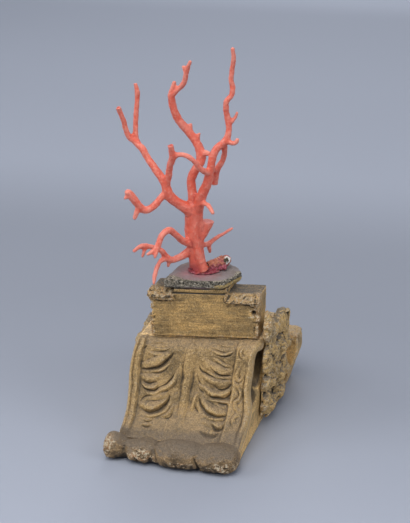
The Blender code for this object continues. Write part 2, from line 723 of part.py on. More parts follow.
# ---------------------------------------------------------------- the side garlands
# Flowers as (y, z, radius, height, petals, turn in degrees), leaves as (y, z, length, width, turn).
FLOWERS = [
    (27.0, 80.0, 13.0, 8.0, 6, 0),
    (4.0, 65.0, 12.0, 8.0, 5, 20),
    (29.0, 55.0, 13.0, 9.0, 6, 15),
    (52.0, 50.0, 11.0, 7.0, 5, 50),
    (2.0, 38.0, 11.0, 8.0, 5, 0),
    (29.0, 30.0, 13.0, 9.0, 6, 40),
    (53.0, 25.0, 11.0, 7.0, 5, 0),
    (6.0, 13.5, 11.0, 8.0, 5, 20),
]
LEAVES = [
    (12.0, 82.0, 20.0, 10.0, 60),
    (44.0, 68.0, 20.0, 10.0, -25),
    (16.0, 56.0, 20.0, 11.0, 80),
    (42.0, 60.0, 22.0, 11.0, 100),
    (-8.0, 42.0, 16.0, 9.0, 60),
    (16.0, 42.0, 20.0, 11.0, 140),
    (42.0, 38.0, 20.0, 11.0, 70),
    (-6.0, 24.0, 18.0, 9.0, 70),
    (24.0, 12.0, 24.0, 10.0, 5),
    (46.0, 12.0, 18.0, 9.0, 110),
]
BUD = (-10.0, 57.0, 6.0, 10.0)  # y, z, half width, half height
GROUND = [
    (-8.0, 10.0),
    (-12.0, 40.0),
    (-15.0, 57.0),
    (-8.0, 72.0),
    (-6.0, 90.0),
    (8.0, 90.0),
    (16.0, 84.0),
    (36.0, 84.0),
    (52.0, 64.0),
    (58.0, 38.0),
    (52.0, 14.0),
    (24.0, 4.0),
]
BRACKET_LEAF = (-9.0, 96.0, 34.0, 13.0, 84)  # only on the right, against the block


def flower_mesh(y, z, radius, height, petals, turn):
    """A flower seen face on, growing along +X from the wall."""
    rings = [(0.95, -0.1, 0.1), (1.0, 0.45, 0.12), (0.66, 0.92, 0.14), (0.28, 0.62, 0.0)]
    segments = petals * 2
    bm = bmesh.new()
    made = bmesh.ops.create_circle(bm, segments=segments, radius=1.0, cap_ends=True)
    edges = list({e for v in made["verts"] for e in v.link_edges})
    ring = made["verts"]
    for i, (share, lift, lobing) in enumerate(rings):
        if i:
            extruded = bmesh.ops.extrude_edge_only(bm, edges=edges)["geom"]
            ring = [g for g in extruded if isinstance(g, bmesh.types.BMVert)]
            edges = [g for g in extruded if isinstance(g, bmesh.types.BMEdge)]
        for vert in ring:
            angle = math.atan2(vert.co.y, vert.co.x)
            reach = share * radius * (1 + lobing * math.cos(petals * angle))
            vert.co = Vector((math.cos(angle) * reach, math.sin(angle) * reach, lift * height))
    bmesh.ops.contextual_create(bm, geom=edges)
    stand = Matrix(((0, 0, 1, 0), (1, 0, 0, 0), (0, 1, 0, 0), (0, 0, 0, 1)))
    place = Matrix.Translation((0, y, z)) @ stand @ Matrix.Rotation(math.radians(turn), 4, "Z")
    bmesh.ops.transform(bm, matrix=Matrix.Scale(MM, 4) @ place, verts=bm.verts[:])
    return mesh_of("flower", bm)


def leaf_mesh(y, z, length, width, turn):
    """A pointed leaf lying on the wall, with a fold along its middle."""
    bm = bmesh.new()
    bmesh.ops.create_uvsphere(bm, u_segments=6, v_segments=4, radius=1.0)
    for vert in bm.verts:
        taper = 1 - 0.45 * vert.co.z
        vert.co = Vector((vert.co.x * 4.0, vert.co.y * taper * width / 2, vert.co.z * length / 2))
    place = Matrix.Translation((2.2, y, z)) @ Matrix.Rotation(math.radians(turn - 90), 4, "X")
    bmesh.ops.transform(bm, matrix=Matrix.Scale(MM, 4) @ place, verts=bm.verts[:])
    return mesh_of("leaf", bm)


def make_garland(name, side, shift, parts, helpers):
    """Flowers and leaves carved in one board, on the left (-1) or the right (1) side."""
    pieces = [flower_mesh(y + shift, *rest) for y, *rest in FLOWERS]
    pieces += [leaf_mesh(y + shift, *rest) for y, *rest in LEAVES[:: 1 if side > 0 else 4]]
    if side > 0:
        y, z, wide, high = BUD
        bm = bmesh.new()
        bmesh.ops.create_uvsphere(bm, u_segments=10, v_segments=6, radius=MM)
        bmesh.ops.scale(bm, vec=(5.5, wide, high), verts=bm.verts[:])
        bmesh.ops.translate(bm, vec=Vector((1.5, y, z)) * MM, verts=bm.verts[:])
        pieces += [mesh_of("bud", bm), leaf_mesh(*BRACKET_LEAF)]
    upright = Matrix(((0, 0, 1, -3 * MM), (1, 0, 0, shift * MM), (0, 1, 0, 0), (0, 0, 0, 1)))
    pieces.append(board_mesh("ground", GROUND, 5.0, upright))
    wall = (BODY_RIGHT if side > 0 else BODY_LEFT) + side * WALL_GAP
    to_wall = Matrix.Translation((wall * MM, 0, 0)) @ Matrix.Diagonal((side, 1, 1, 1))
    for piece in pieces:
        piece.transform(to_wall)
        if side < 0:
            piece.flip_normals()
        twist(piece)
    garland = add_object(name, pieces[1], GILT, parts)
    combine(garland, "UNION", [pieces[0], *pieces[2:]], helpers)
    low, high = (-200, wall) if side > 0 else (wall, 200)
    inner = twist(box_mesh(f"{name} wall", (low, -100, -20), (high, 140, 140)))
    core = core_mesh(f"{name} clear of core", extra=WALL_GAP)
    floor = box_mesh(f"{name} floor", (-150, -120, -30), (150, 150, 0))
    behind = box_mesh(f"{name} back", (-150, BODY_BACK, -30), (150, 150, 150))
    combine(garland, "DIFFERENCE", [inner, core, floor, behind], helpers)


BOARD_OUTLINE = [(-54.0, 47.0), (57.0, 47.0), (57.5, 31.0), (50.0, 0.0), (-48.0, 0.0), (-54.5, 31.0)]
BOARD_THICK = 18.0


def make_back_board(parts):
    """The plain board across the back, where the console met the wall."""
    back = BODY_BACK + BOARD_THICK + GAP
    facing = Matrix(((1, 0, 0, 0), (0, 0, -1, back * MM), (0, 1, 0, 0), (0, 0, 0, 1)))
    board = twist(board_mesh("back_board", BOARD_OUTLINE, BOARD_THICK, facing))
    made = add_object("back_board", board, GILT, parts)
    bevel = made.modifiers.new("Worn edge", "BEVEL")
    bevel.width = 1.0 * MM
    bevel.segments = 1


def main():
    for old in list(bpy.data.objects):
        bpy.data.objects.remove(old)
    parts = bpy.data.collections.new("Red coral on a gilt console")
    helpers = bpy.data.collections.new("Cutters")
    for collection in (parts, helpers):
        bpy.context.scene.collection.children.link(collection)
    helpers.hide_render = True
    make_coral(parts, helpers)
    make_foot(parts, helpers)
    make_slab(parts)
    make_block(parts, helpers)
    make_console(parts, helpers)
    make_garland("right_garland", 1, 0.0, parts, helpers)
    make_garland("left_garland", -1, 9.0, parts, helpers)
    make_back_board(parts)


main()
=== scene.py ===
"""A branch of red coral, set in wax on a fragment of a carved and gilt wooden console.

Metres, +Z up, with the console's carved front towards -Y. The numbers in each section are in
millimetres, and MM turns them into metres.
"""

import math
import random
from functools import partial

import bmesh
import bpy
import numpy as np
from mathutils import Matrix, Vector, kdtree, noise


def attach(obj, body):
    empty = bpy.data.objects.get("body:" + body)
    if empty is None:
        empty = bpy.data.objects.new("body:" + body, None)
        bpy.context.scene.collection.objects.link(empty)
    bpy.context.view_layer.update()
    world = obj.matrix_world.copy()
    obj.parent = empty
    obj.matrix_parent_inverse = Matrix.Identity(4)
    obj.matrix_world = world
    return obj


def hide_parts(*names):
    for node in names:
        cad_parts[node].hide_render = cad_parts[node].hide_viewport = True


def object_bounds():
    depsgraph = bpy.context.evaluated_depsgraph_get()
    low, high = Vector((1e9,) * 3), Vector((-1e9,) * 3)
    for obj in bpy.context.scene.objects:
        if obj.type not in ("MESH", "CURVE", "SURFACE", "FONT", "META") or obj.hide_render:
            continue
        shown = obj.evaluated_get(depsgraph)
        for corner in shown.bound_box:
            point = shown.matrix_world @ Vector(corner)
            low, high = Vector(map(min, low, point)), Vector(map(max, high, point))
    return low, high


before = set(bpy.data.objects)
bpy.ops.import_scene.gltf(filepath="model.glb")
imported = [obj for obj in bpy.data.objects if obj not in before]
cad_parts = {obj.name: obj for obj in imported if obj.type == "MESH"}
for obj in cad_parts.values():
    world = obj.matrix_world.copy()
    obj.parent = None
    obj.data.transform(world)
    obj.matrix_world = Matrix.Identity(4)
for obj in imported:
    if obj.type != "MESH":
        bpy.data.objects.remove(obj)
cad_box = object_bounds()
MM = 0.001

# ---------------------------------------------------------------- the carved front
# The front of the console is one board of limewood that curls forward over a foot roll. Two rails
# and a rib are left standing, and acanthus lobes are cut between them, each one deep under its
# lower edge. It was covered with gesso, then red clay and gold leaf, now rubbed and full of dust.
SHOULDER = 81.45
FRONT_MIDDLE, FRONT_HALF = 1.0, 46.5
# The front's face from shoulder to foot, as (y, z).
FRONT_PROFILE = [
    (-8, SHOULDER - 0.3), (-15.5, SHOULDER - 0.6), (-20.5, 78), (-23.8, 72), (-26.6, 60), (-30, 50),
    (-34.6, 40), (-40.4, 30), (-49, 22.5), (-60, 18.5),
]
# How the old carving is out of true. It splays to the right towards the back, the front turns from
# FOOT_TURN at its foot by TURN_GAIN, its left side bulges at one height, and the foot leans left.
SPLAY, FOOT_TURN, TURN_GAIN = math.radians(6.3), -4.5, 12.0
BULGE, BULGE_HEIGHT, BULGE_REACH, FOOT_LEAN = -2.6, 57, 17, -3.0
# The right edge is cut back by this much where the side is hollowed.
EDGE_WASTE = 3.8
FIELD_DEPTH, BACK_DEPTH = 2.7, 9.0
FACES_ACROSS, FACES_DOWN = 280, 268
# The carver's strokes, each a route of (across from the middle, down the front). A cut has its
# width and depth, and a swell has its half width and its height over the field.
CUTS = [
    ([(-17, 20.3), (-19.5, 25.5), (-22.5, 29), (-26.5, 32), (-30, 33.5), (-34, 34.2),
      (-38, 34)], 2.3, 3.4),
    ([(-18.8, 30), (-21, 34), (-24, 36), (-27, 37), (-31.5, 36.5)], 0.9, 0.9),
    ([(-36.4, 42.6), (-33, 44.4), (-30, 44.6), (-27.2, 42.8)], 1.1, 1.3),
    ([(-13.3, 35.5), (-15, 39.8), (-16.5, 42), (-18.5, 44), (-21, 45.5), (-24, 47.2)], 1.2, 1.1),
    ([(-23.5, 46.6), (-25.5, 49.3), (-28, 50.2), (-31.5, 50), (-34.3, 48.6), (-37, 45.5)], 1.5, 1.9),
    ([(-37, 59), (-35.5, 55.5), (-33.3, 53.8), (-29.5, 54)], 1.1, 1.3),
    ([(-16.6, 51.5), (-16, 55), (-17.7, 59.6), (-21.8, 63.3), (-24.7, 64.6), (-28, 65.4),
      (-33, 65)], 2.3, 3.4),
    ([(-11.2, 65), (-11.7, 67.8), (-13.2, 69.2), (-17.5, 69.7)], 1.2, 1.2),
    ([(-32.5, 70.9), (-29, 72.2), (-25, 71.2)], 1.1, 1.4),
    ([(-32, 75.2), (-28, 76.4), (-24, 75.4)], 1.1, 1.3),
    ([(-39, 18.5), (-38.2, 15.5), (-37.6, 13.5)], 1.5, 1.2),
    ([(-36, 13.5), (-31, 11.2), (-26, 10.9), (-21.5, 12.5)], 0.9, 0.7),
    ([(-34, 19), (-28.5, 19.6), (-23, 18.9), (-19.5, 16.5)], 0.9, 0.7),
    ([(-7.5, 31), (-7.3, 38), (-7.4, 47), (-8.2, 57)], 1.7, 1),
    ([(-0.6, 33), (-0.8, 40), (-0.9, 48), (-1.2, 56)], 2.2, 1.3),
    ([(15.5, 20.5), (20, 21.4), (23, 21.3), (25.7, 20.4), (28, 18)], 1.3, 1.5),
    ([(7, 12), (14, 16), (20, 18.1), (26, 16.5)], 0.8, 0.7),
    ([(10, 9.5), (17, 12), (24, 13), (29, 11.5)], 0.8, 0.6),
    ([(15, 22), (18.5, 24.3), (22.5, 26.8), (27, 28.6)], 0.8, 0.7),
    ([(2.6, 28.5), (4.5, 32.5), (6, 34.3), (8.5, 35.4), (11.5, 37), (16, 38.6)], 1.5, 1.6),
    ([(11.8, 30), (13.5, 32.8), (16.3, 34.7), (19.3, 36.1), (22.6, 36.7), (28.5, 37)], 1.5, 1.8),
    ([(2.2, 36.5), (3.3, 40), (4.5, 42), (7, 43.8)], 1.2, 1.2),
    ([(17, 44.8), (19.8, 47), (22.8, 47.5), (25.7, 46.5), (27.6, 45), (28.7, 42)], 1.6, 2.1),
    ([(13.6, 49.2), (15.5, 52.2), (18.3, 53.6), (22, 53.8), (25.5, 53.5), (28.2, 52), (30, 49),
      (30.5, 45)], 1.8, 2.4),
    ([(24.5, 53.2), (27, 53.5), (29.6, 53.9)], 2.6, 1.8),
    ([(20.5, 57.3), (25, 58), (28.5, 57.2)], 2.2, 1.3),
    ([(4.6, 44.3), (5.5, 47), (7, 49), (9.8, 50.3)], 1.1, 1.1),
    ([(6.3, 54), (7.3, 57.5), (9, 60), (11.2, 62), (14, 64), (17, 65.5), (20, 66.4), (24, 66.9),
      (29, 66.5)], 2, 2.9),
    ([(4, 60), (5.8, 63), (8.5, 64.8)], 1.7, 1.6),
    ([(30, 61.3), (31.8, 64.6), (33.4, 67), (33.8, 69), (33, 71)], 1.3, 1.5),
    ([(12.5, 67.2), (16.5, 67.9), (20, 68)], 0.9, 0.6),
    ([(19.5, 73), (24, 75.8), (28, 76.2), (30.8, 74)], 1.9, 3),
    ([(11.5, 77), (15.5, 79.6), (20, 81), (24.5, 80.6), (28.5, 78.2)], 2.3, 3.8),
]
SWELLS = [
    ([(-18.5, 20.5), (-23, 24.8), (-28, 28.6), (-33, 30.6), (-38.5, 30.8)], 4.6, 2.5),
    ([(-18, 28.5), (-21.5, 32), (-25.5, 34.6), (-31, 35.5)], 1.5, 1.2),
    ([(-11.8, 33), (-12.5, 38), (-13.5, 41.8), (-15.5, 44.6), (-19, 46.9), (-22.3, 49.2), (-26, 52),
      (-32, 52.3)], 2.2, 2.3),
    ([(-38, 38.7), (-33, 40.3), (-29, 40.4), (-23.5, 38.4)], 3.2, 1.8),
    ([(-37, 44.5), (-34, 47), (-30.5, 47.7), (-27, 47), (-24.8, 43.6)], 1.6, 1.7),
    ([(-17.8, 55.5), (-21, 59.6), (-26, 61.8), (-31, 61.6), (-37, 59.8)], 4, 3),
    ([(-18, 50.5), (-22.5, 54.2), (-28.5, 56)], 3, 1.5),
    ([(-13.6, 58.5), (-16.5, 63.9), (-20.5, 66.6), (-25, 67.9), (-32.5, 68)], 1.6, 1.6),
    ([(-11.6, 59.5), (-13.2, 64), (-15.5, 67), (-20, 68.5)], 1.6, 1.3),
    ([(-32, 74.1), (-28, 74.8), (-24, 74)], 1.3, 1.1),
    ([(-29, 78.2), (-24, 79.2), (-19, 77.8)], 1.5, 1),
    ([(-30, 16.3), (-24.5, 17.2), (-19.5, 15.6)], 1.5, 1.1),
    ([(-35, 20.6), (-28, 22), (-22.5, 20.6)], 1.5, 0.9),
    ([(-4.2, 6), (-4, 20), (-4.2, 40), (-4.3, 56), (-3.6, 76)], 4.2, 2.2),
    ([(-10.3, 24), (-10, 36), (-10.4, 50)], 1.5, 0.9),
    ([(4.3, 49), (3.6, 55), (2.6, 64)], 1.5, 1.4),
    ([(12, 17.2), (17, 19.3), (22, 19.6), (27.5, 17)], 1.7, 1.4),
    ([(4.6, 23.6), (11, 29.4), (17, 32.3), (23, 33.4), (29.5, 32.8)], 3.8, 2.2),
    ([(12, 22.8), (17.5, 25.8), (22, 28), (28, 30.8)], 1.4, 1),
    ([(5.8, 30), (11.5, 35), (15, 37), (20, 38.2), (28.5, 39)], 1.6, 1.5),
    ([(6.5, 36.5), (13, 40.3), (18, 42), (23, 42.8), (28.5, 41.5)], 3, 2.1),
    ([(6.5, 44.5), (13, 48.6), (17, 50.4), (22, 50.9), (28.5, 49)], 2.2, 2.2),
    ([(8.2, 54.5), (13, 60), (18, 62.8), (23, 64), (29.5, 64)], 3.9, 2.8),
    ([(14, 54.4), (20, 56), (24, 55.7), (28.5, 56.3), (31, 59.2), (32.8, 63), (34.8, 66.5),
      (35.3, 71)], 1.3, 1.8),
    ([(11.5, 65), (17, 68.2), (22, 69.2), (29.5, 68.6)], 1.5, 1.3),
    ([(12.5, 69.6), (20, 72.7), (27, 72.4), (32.5, 69)], 2.6, 1.5),
    ([(21, 77.6), (26, 78.9), (31.5, 77)], 1.5, 1.2),
]
SWELL_SHARE, CUT_SHARE = 0.9, 0.85
# The carving on the right rail: a curl, then a scroll under it, as ridges of this half width. A
# fine groove runs down each rail.
CURLS = [
    [(37.5, 27.5), (35.2, 30), (33.2, 34), (32.6, 37), (34.2, 39.5), (37, 39.6), (38.8, 37),
      (38.2, 33.8)],
    [(33, 41.5), (35, 45), (38.6, 47.5), (39.5, 51), (37.5, 54.5), (34.5, 56), (35.5, 60), (38.8, 62.5)],
    [(38.5, 65), (36, 67.5), (35.6, 71), (38.2, 73.5)],
    [(36, 13), (33.8, 16.5), (34.6, 20.5), (38, 22.6)],
]
CURL_WIDTH, CURL_HEIGHT, CURL_SINK = 1.1, 0.9, 0.7
LEFT_GROOVE, RIGHT_GROOVE, GROOVE_DEPTH = -43.4, 41.6, 0.9
LEFT_RAIL, RIGHT_RAIL = (-38.4, -40.6), (29.0, 31.0)


def smooth_route(route, step):
    """Points about one step apart on a smooth curve through the route, as an array."""
    route = np.array(route, float)
    before, after = np.vstack([route[:1], route[:-1]]), np.vstack([route[1:], route[-1:]])
    tangents = (after - before) / 2
    points = []
    for i in range(len(route) - 1):
        pieces = max(1, round(float(np.linalg.norm((route[i + 1] - route[i])[:3])) / step))
        for k in range(pieces):
            t = k / pieces
            start = (1 + 2 * t) * (1 - t) ** 2 * route[i] + t * (1 - t) ** 2 * tangents[i]
            points.append(start + t * t * (3 - 2 * t) * route[i + 1] + t * t * (t - 1) * tangents[i + 1])
    return np.array([*points, route[-1]])


def step_up(low, high, value):
    """0 below low, 1 above high, and a smooth rise between, for numbers or arrays."""
    t = np.clip((value - low) / (high - low), 0, 1)
    return t * t * (3 - 2 * t)


def out_of_true(x, y, z):
    """Where a point of a straight console lies in the old one, which is twisted and splayed."""
    turn = FOOT_TURN + TURN_GAIN * step_up(-65, -45, y)
    front = 1 - step_up(0, 60, y)
    left = np.clip((FRONT_MIDDLE - x) / 45, 0, 1)
    bulge = BULGE * np.exp(-(((z - BULGE_HEIGHT) / BULGE_REACH) ** 2)) * left * front
    lean = FOOT_LEAN * (1 - np.clip(z / SHOULDER, 0, 1))
    moved_x = x + math.tan(SPLAY) * (y + 45) + lean + bulge
    return moved_x, y + front * (x - FRONT_MIDDLE) * np.tan(np.radians(turn)), z


def points_of(mesh):
    """All the mesh's points as an array, in millimetres."""
    flat = np.empty(len(mesh.vertices) * 3)
    mesh.vertices.foreach_get("co", flat)
    return flat.reshape(-1, 3) / MM


def move_points(mesh, points):
    mesh.vertices.foreach_set("co", (points * MM).ravel())
    mesh.update()


def normals_of(mesh):
    flat = np.empty(len(mesh.vertices) * 3, np.float32)
    mesh.vertex_normals.foreach_get("vector", flat)
    return flat.reshape(-1, 3)


def mesh_of(name, bm):
    """The bmesh as a mesh, and the bmesh is done with."""
    mesh = bpy.data.meshes.new(name)
    bm.to_mesh(mesh)
    bm.free()
    return mesh


SHARP_FROM = math.radians(60)


def add_piece(name, mesh, finish):
    """A smooth object of this mesh and finish, which keeps its hard edges."""
    mesh.shade_smooth()
    mesh.set_sharp_from_angle(angle=SHARP_FROM)
    mesh.materials.append(finish)
    piece = bpy.data.objects.new(name, mesh)
    bpy.context.scene.collection.objects.link(piece)
    return piece


def lumps_at(places, gain, octaves=3):
    """Fractal noise at each of these places, with each octave finer by half."""
    return np.array([noise.fractal(Vector(p), gain, 2.0, octaves) for p in places])


def roughen(mesh, size, depth, where=1.0):
    """Moves each point in or out by lumps of this size and depth."""
    points = points_of(mesh)
    lumps = lumps_at([Vector(p) / size for p in points], 0.7)
    move_points(mesh, points + normals_of(mesh) * (lumps * depth * where)[:, None])


def mark(mesh, name, values):
    """Stores a value from 0 to 1 at each point, for the mesh's finish to read."""
    made = mesh.attributes.new(name, "FLOAT", "POINT")
    made.data.foreach_set("value", np.clip(values, 0, 1).astype(np.float32))


# Edges longer than this join points that say nothing about each other's surroundings.
LONG_EDGE = 12.0


def mark_relief(mesh, rounds, full, sunk=0.0):
    """Stores how far each point stands out of what is round it, as 1 on a ridge and 0 in a hollow,
    less sunk, which lowers it where the finishes are to paint shade.
    """
    points, count = points_of(mesh), len(mesh.vertices)
    ends = np.empty(len(mesh.edges) * 2, int)
    mesh.edges.foreach_get("vertices", ends)
    a, b = ends.reshape(-1, 2).T
    close = np.linalg.norm(points[a] - points[b], axis=1) < LONG_EDGE
    a, b = a[close], b[close]
    near = np.maximum(np.bincount(a, minlength=count) + np.bincount(b, minlength=count), 1)
    soft = points.copy()
    for _ in range(rounds):
        for axis in range(3):
            along = soft[:, axis]
            total = np.bincount(a, along[b], count) + np.bincount(b, along[a], count)
            soft[:, axis] = total / near
    proud = ((points - soft) * normals_of(mesh)).sum(1)
    mark(mesh, "relief", 0.5 + proud / full - sunk)


def off_route(across, down, route):
    """How far each place is from a smooth route, and a taper that is 0 at the route's ends."""
    line = smooth_route(route, 1.5)
    nearest, part = np.full(across.shape, 1e9), np.zeros(across.shape)
    for i in range(len(line) - 1):
        (x0, s0), (x1, s1) = line[i], line[i + 1]
        dx, ds = x1 - x0, s1 - s0
        t = np.clip(((across - x0) * dx + (down - s0) * ds) / (dx * dx + ds * ds), 0, 1)
        gap = np.hypot(across - x0 - t * dx, down - s0 - t * ds)
        part = np.where(gap < nearest, (i + t) / (len(line) - 1), part)
        nearest = np.minimum(gap, nearest)
    return nearest, np.clip(np.minimum(part, 1 - part) / 0.35, 0.02, 1) ** 0.7


def front_relief(across, down):
    """The carving's height over the face of the rails, across the front and down it."""
    warp = np.array([noise.noise_vector((a / 7, d / 7, 1.5))[:2] for a, d in zip(across, down)])
    across, down = across + 0.8 * warp[:, 0], down + 0.8 * warp[:, 1]
    swell = np.zeros(across.shape)
    for route, half, high in SWELLS:
        gap, taper = off_route(across, down, route)
        bulge = high * taper * np.clip(1 - (gap / (half * (0.35 + 0.65 * taper))) ** 2, 0, 1) ** 0.8
        swell = np.maximum(swell, bulge) + 0.25 * np.minimum(swell, bulge)
    cut = np.zeros(across.shape)
    for route, width, deep in CUTS:
        gap, taper = off_route(across, down, route)
        cut = np.maximum(cut, deep * taper * np.exp(-((2 * gap / (width * (0.5 + 0.5 * taper))) ** 2)))
    field = SWELL_SHARE * swell - CUT_SHARE * cut - FIELD_DEPTH
    groove = GROOVE_DEPTH * np.exp(-(((across - RIGHT_GROOVE) / 0.7) ** 2)) * step_up(28, 40, down)
    rail_right = -0.4 - groove + 0.4 * step_up(41.8, 44, across) - 0.9 * step_up(44.5, 46.5, across)
    for route in CURLS:
        gap, taper = off_route(across, down, route)
        rail_right += CURL_HEIGHT * taper * np.exp(-((gap / CURL_WIDTH) ** 2))
        rail_right -= CURL_SINK * taper * np.exp(-(((gap - 1.9) / 0.7) ** 2))
    groove = GROOVE_DEPTH * np.exp(-(((across - LEFT_GROOVE) / 0.6) ** 2))
    rail_left = -0.5 - groove - 1.2 * step_up(-45.2, -46.5, across)
    right, left = step_up(*RIGHT_RAIL, across), step_up(*LEFT_RAIL, across)
    return field * (1 - right) * (1 - left) + rail_right * right + rail_left * left


def add_node(tree, kind, inputs=None, **settings):
    """A node with these settings, and each input linked from a socket or set to a value."""
    made = tree.nodes.new(kind)
    for name, value in settings.items():
        setattr(made, name, value)
    for name, value in (inputs or {}).items():
        if isinstance(value, bpy.types.NodeSocket):
            tree.links.new(value, made.inputs[name])
        else:
            made.inputs[name].default_value = value
    return made


def tree_of(*values):
    """The node tree that the first socket among these belongs to."""
    return next(v for v in values if isinstance(v, bpy.types.NodeSocket)).id_data


def mix(share, a, b, kind="MIX"):
    """The colour between a and b."""
    tree, inputs = tree_of(share, a, b), {0: share, 6: a, 7: b}
    return add_node(tree, "ShaderNodeMix", inputs, data_type="RGBA", blend_type=kind).outputs[2]


def shaded(colour, by):
    return mix(1.0, colour, (*by, 1), "MULTIPLY")


def worked_out(kind, a, b):
    return add_node(tree_of(a, b), "ShaderNodeMath", {0: a, 1: b}, operation=kind).outputs[0]


plus, minus = partial(worked_out, "ADD"), partial(worked_out, "SUBTRACT")
times, larger = partial(worked_out, "MULTIPLY"), partial(worked_out, "MAXIMUM")


def mask(value, low, high, top=1.0):
    """0 where the value is below low, and top where it is above high."""
    limits = {"Value": value, "From Min": low, "From Max": high, "To Max": top}
    made = add_node(tree_of(value), "ShaderNodeMapRange", limits, interpolation_type="SMOOTHSTEP")
    return made.outputs[0]


def noise_at(place, scale, detail=3.0, roughness=0.6):
    values = {"Vector": place, "Scale": scale, "Detail": detail, "Roughness": roughness}
    return add_node(tree_of(place), "ShaderNodeTexNoise", values).outputs[0]


def broken_up(value, by, spread):
    """A value whose edges are made uneven by a noise."""
    return plus(value, times(minus(by, 0.5), spread))


def stored(tree, *names):
    """The values that mark has stored under these names."""
    return [add_node(tree, "ShaderNodeAttribute", attribute_name=name).outputs["Fac"] for name in names]


def new_group(name, inputs, outputs=("Color", "Roughness", "Height")):
    """An empty shader node group: the group, its inputs, its outputs' sockets, and the place shaded."""
    group = bpy.data.node_groups.new(name, "ShaderNodeTree")
    for label, value in inputs.items():
        kind = "NodeSocketColor" if isinstance(value, tuple) else "NodeSocketFloat"
        group.interface.new_socket(label, in_out="INPUT", socket_type=kind).default_value = value
    for label in outputs:
        kind = "NodeSocketColor" if label == "Color" else "NodeSocketFloat"
        group.interface.new_socket(label, in_out="OUTPUT", socket_type=kind)
    given, into = group.nodes.new("NodeGroupInput").outputs, group.nodes.new("NodeGroupOutput").inputs
    return group, given, into, add_node(group, "ShaderNodeTexCoord").outputs["Object"]


def put_out(group, into, **values):
    for name, value in values.items():
        group.links.new(value, into[name])


def finish_of(name, group, inputs, bump, specular=0.5, subsurface=0.0):
    """A material that takes its colour, roughness and bump from a group with these values."""
    made = bpy.data.materials.new(name)
    made.use_nodes = True
    tree = made.node_tree
    shader = tree.nodes["Principled BSDF"]
    source = add_node(tree, "ShaderNodeGroup", node_tree=group)
    for label, value in inputs.items():
        source.inputs[label].default_value = value
    for label, socket in (("Color", "Base Color"), ("Roughness", "Roughness"), ("Metallic", "Metallic")):
        if label in source.outputs:
            tree.links.new(source.outputs[label], shader.inputs[socket])
    lift = {"Height": source.outputs["Height"], "Distance": bump * MM, "Strength": 1.0}
    tree.links.new(add_node(tree, "ShaderNodeBump", lift).outputs[0], shader.inputs["Normal"])
    shader.inputs["Specular IOR Level"].default_value = specular
    shader.inputs["Subsurface Weight"].default_value = subsurface
    return made


def worn_gilding():
    """Old gold leaf: patchy and speckled, dark with dirt and painted shade in its hollows, chipped to
    gesso on its ridges, and grey with dust where it faces up."""
    inputs = {
        "Gold": (0.3, 0.2, 0.1, 1),
        "Umber": (0.1, 0.07, 0.04, 1),
        "Dust Color": (0.24, 0.205, 0.175, 1),
        "Dust": 0.6,
        "Grime and Shade": 0.8,
        "Chips": 0.5,
        "Streaks": 0.0,
    }
    outputs = ("Color", "Roughness", "Metallic", "Height")
    tree, given, into, place = new_group("Worn gilding", inputs, outputs)
    relief, worn, dusty = stored(tree, "relief", "worn", "dusty")
    normal = add_node(tree, "ShaderNodeNewGeometry").outputs["Normal"]
    up = add_node(tree, "ShaderNodeSeparateXYZ", {0: normal}).outputs["Z"]
    patches, specks = noise_at(place, 55.0, 4.0), noise_at(place, 520.0, 4.0, 0.7)
    grain, flakes = noise_at(place, 1500.0, 2.0, 0.7), noise_at(place, 260.0, 3.0, 0.75)
    fine, broad = (
        add_node(tree, "ShaderNodeMapping", {"Vector": place, "Scale": scale}).outputs[0]
        for scale in ((60.0, 60.0, 620.0), (22.0, 22.0, 190.0))
    )
    streaks = mask(noise_at(fine, 1.0, 4.0, 0.65), 0.5, 0.62)
    bands = mask(noise_at(broad, 1.0, 2.0), 0.42, 0.6, 0.5)

    dark, light, bright = (
        shaded(given["Gold"], by) for by in ((0.66, 0.64, 0.6), (1.35, 1.28, 1.15), (1.75, 1.7, 1.6))
    )
    colour = mix(mask(patches, 0.36, 0.64), dark, light)
    umber = mask(plus(specks, times(patches, -0.25)), 0.38, 0.52, 0.7)
    for share in (umber, times(streaks, given["Streaks"]), times(bands, given["Streaks"])):
        colour = mix(share, colour, given["Umber"])

    proud = broken_up(relief, grain, 0.5)
    colour = mix(mask(proud, 0.58, 0.8, 0.55), colour, bright)
    chip_line = plus(broken_up(proud, flakes, 1.6), times(worn, 0.42))
    chips = times(mask(chip_line, 0.88, 0.98), given["Chips"])
    colour = mix(mask(grain, 0.6, 0.72, 0.4), colour, (0.5, 0.43, 0.32, 1))
    gesso = mix(mask(specks, 0.46, 0.54), (0.28, 0.14, 0.06, 1), (0.56, 0.475, 0.34, 1))
    colour = mix(chips, colour, gesso)
    # Dirt and painted shade: the gold goes nearly black where the relief mark is low.
    sunk = minus(1.0, broken_up(relief, specks, 0.25))
    grime_and_shade = times(mask(sunk, 0.54, 0.85), given["Grime and Shade"])
    colour = mix(grime_and_shade, colour, (0.028, 0.02, 0.011, 1))

    lying = mask(plus(up, times(patches, 0.5)), 0.5, 1.05)
    settled = times(mask(plus(specks, patches), 0.72, 1.1), 0.45)
    dust = times(times(lying, plus(settled, 0.55)), given["Dust"])
    dust = larger(dust, times(dusty, plus(settled, 0.5)))
    dust = times(dust, minus(1.0, times(worn, 0.75)))
    colour = mix(dust, colour, given["Dust Color"])
    darker, lighter = shaded(colour, (0.66, 0.64, 0.62)), shaded(colour, (1.3, 1.3, 1.28))
    colour = mix(mask(grain, 0.36, 0.62), darker, lighter)

    bare = minus(1.0, larger(dust, larger(grime_and_shade, umber)))
    height = plus(times(specks, 0.65), times(grain, 0.35))
    rough = minus(0.86, times(bare, 0.36))
    put_out(tree, into, Color=colour, Roughness=rough, Metallic=times(bare, 0.35), Height=height)
    return tree


GILDING = worn_gilding()


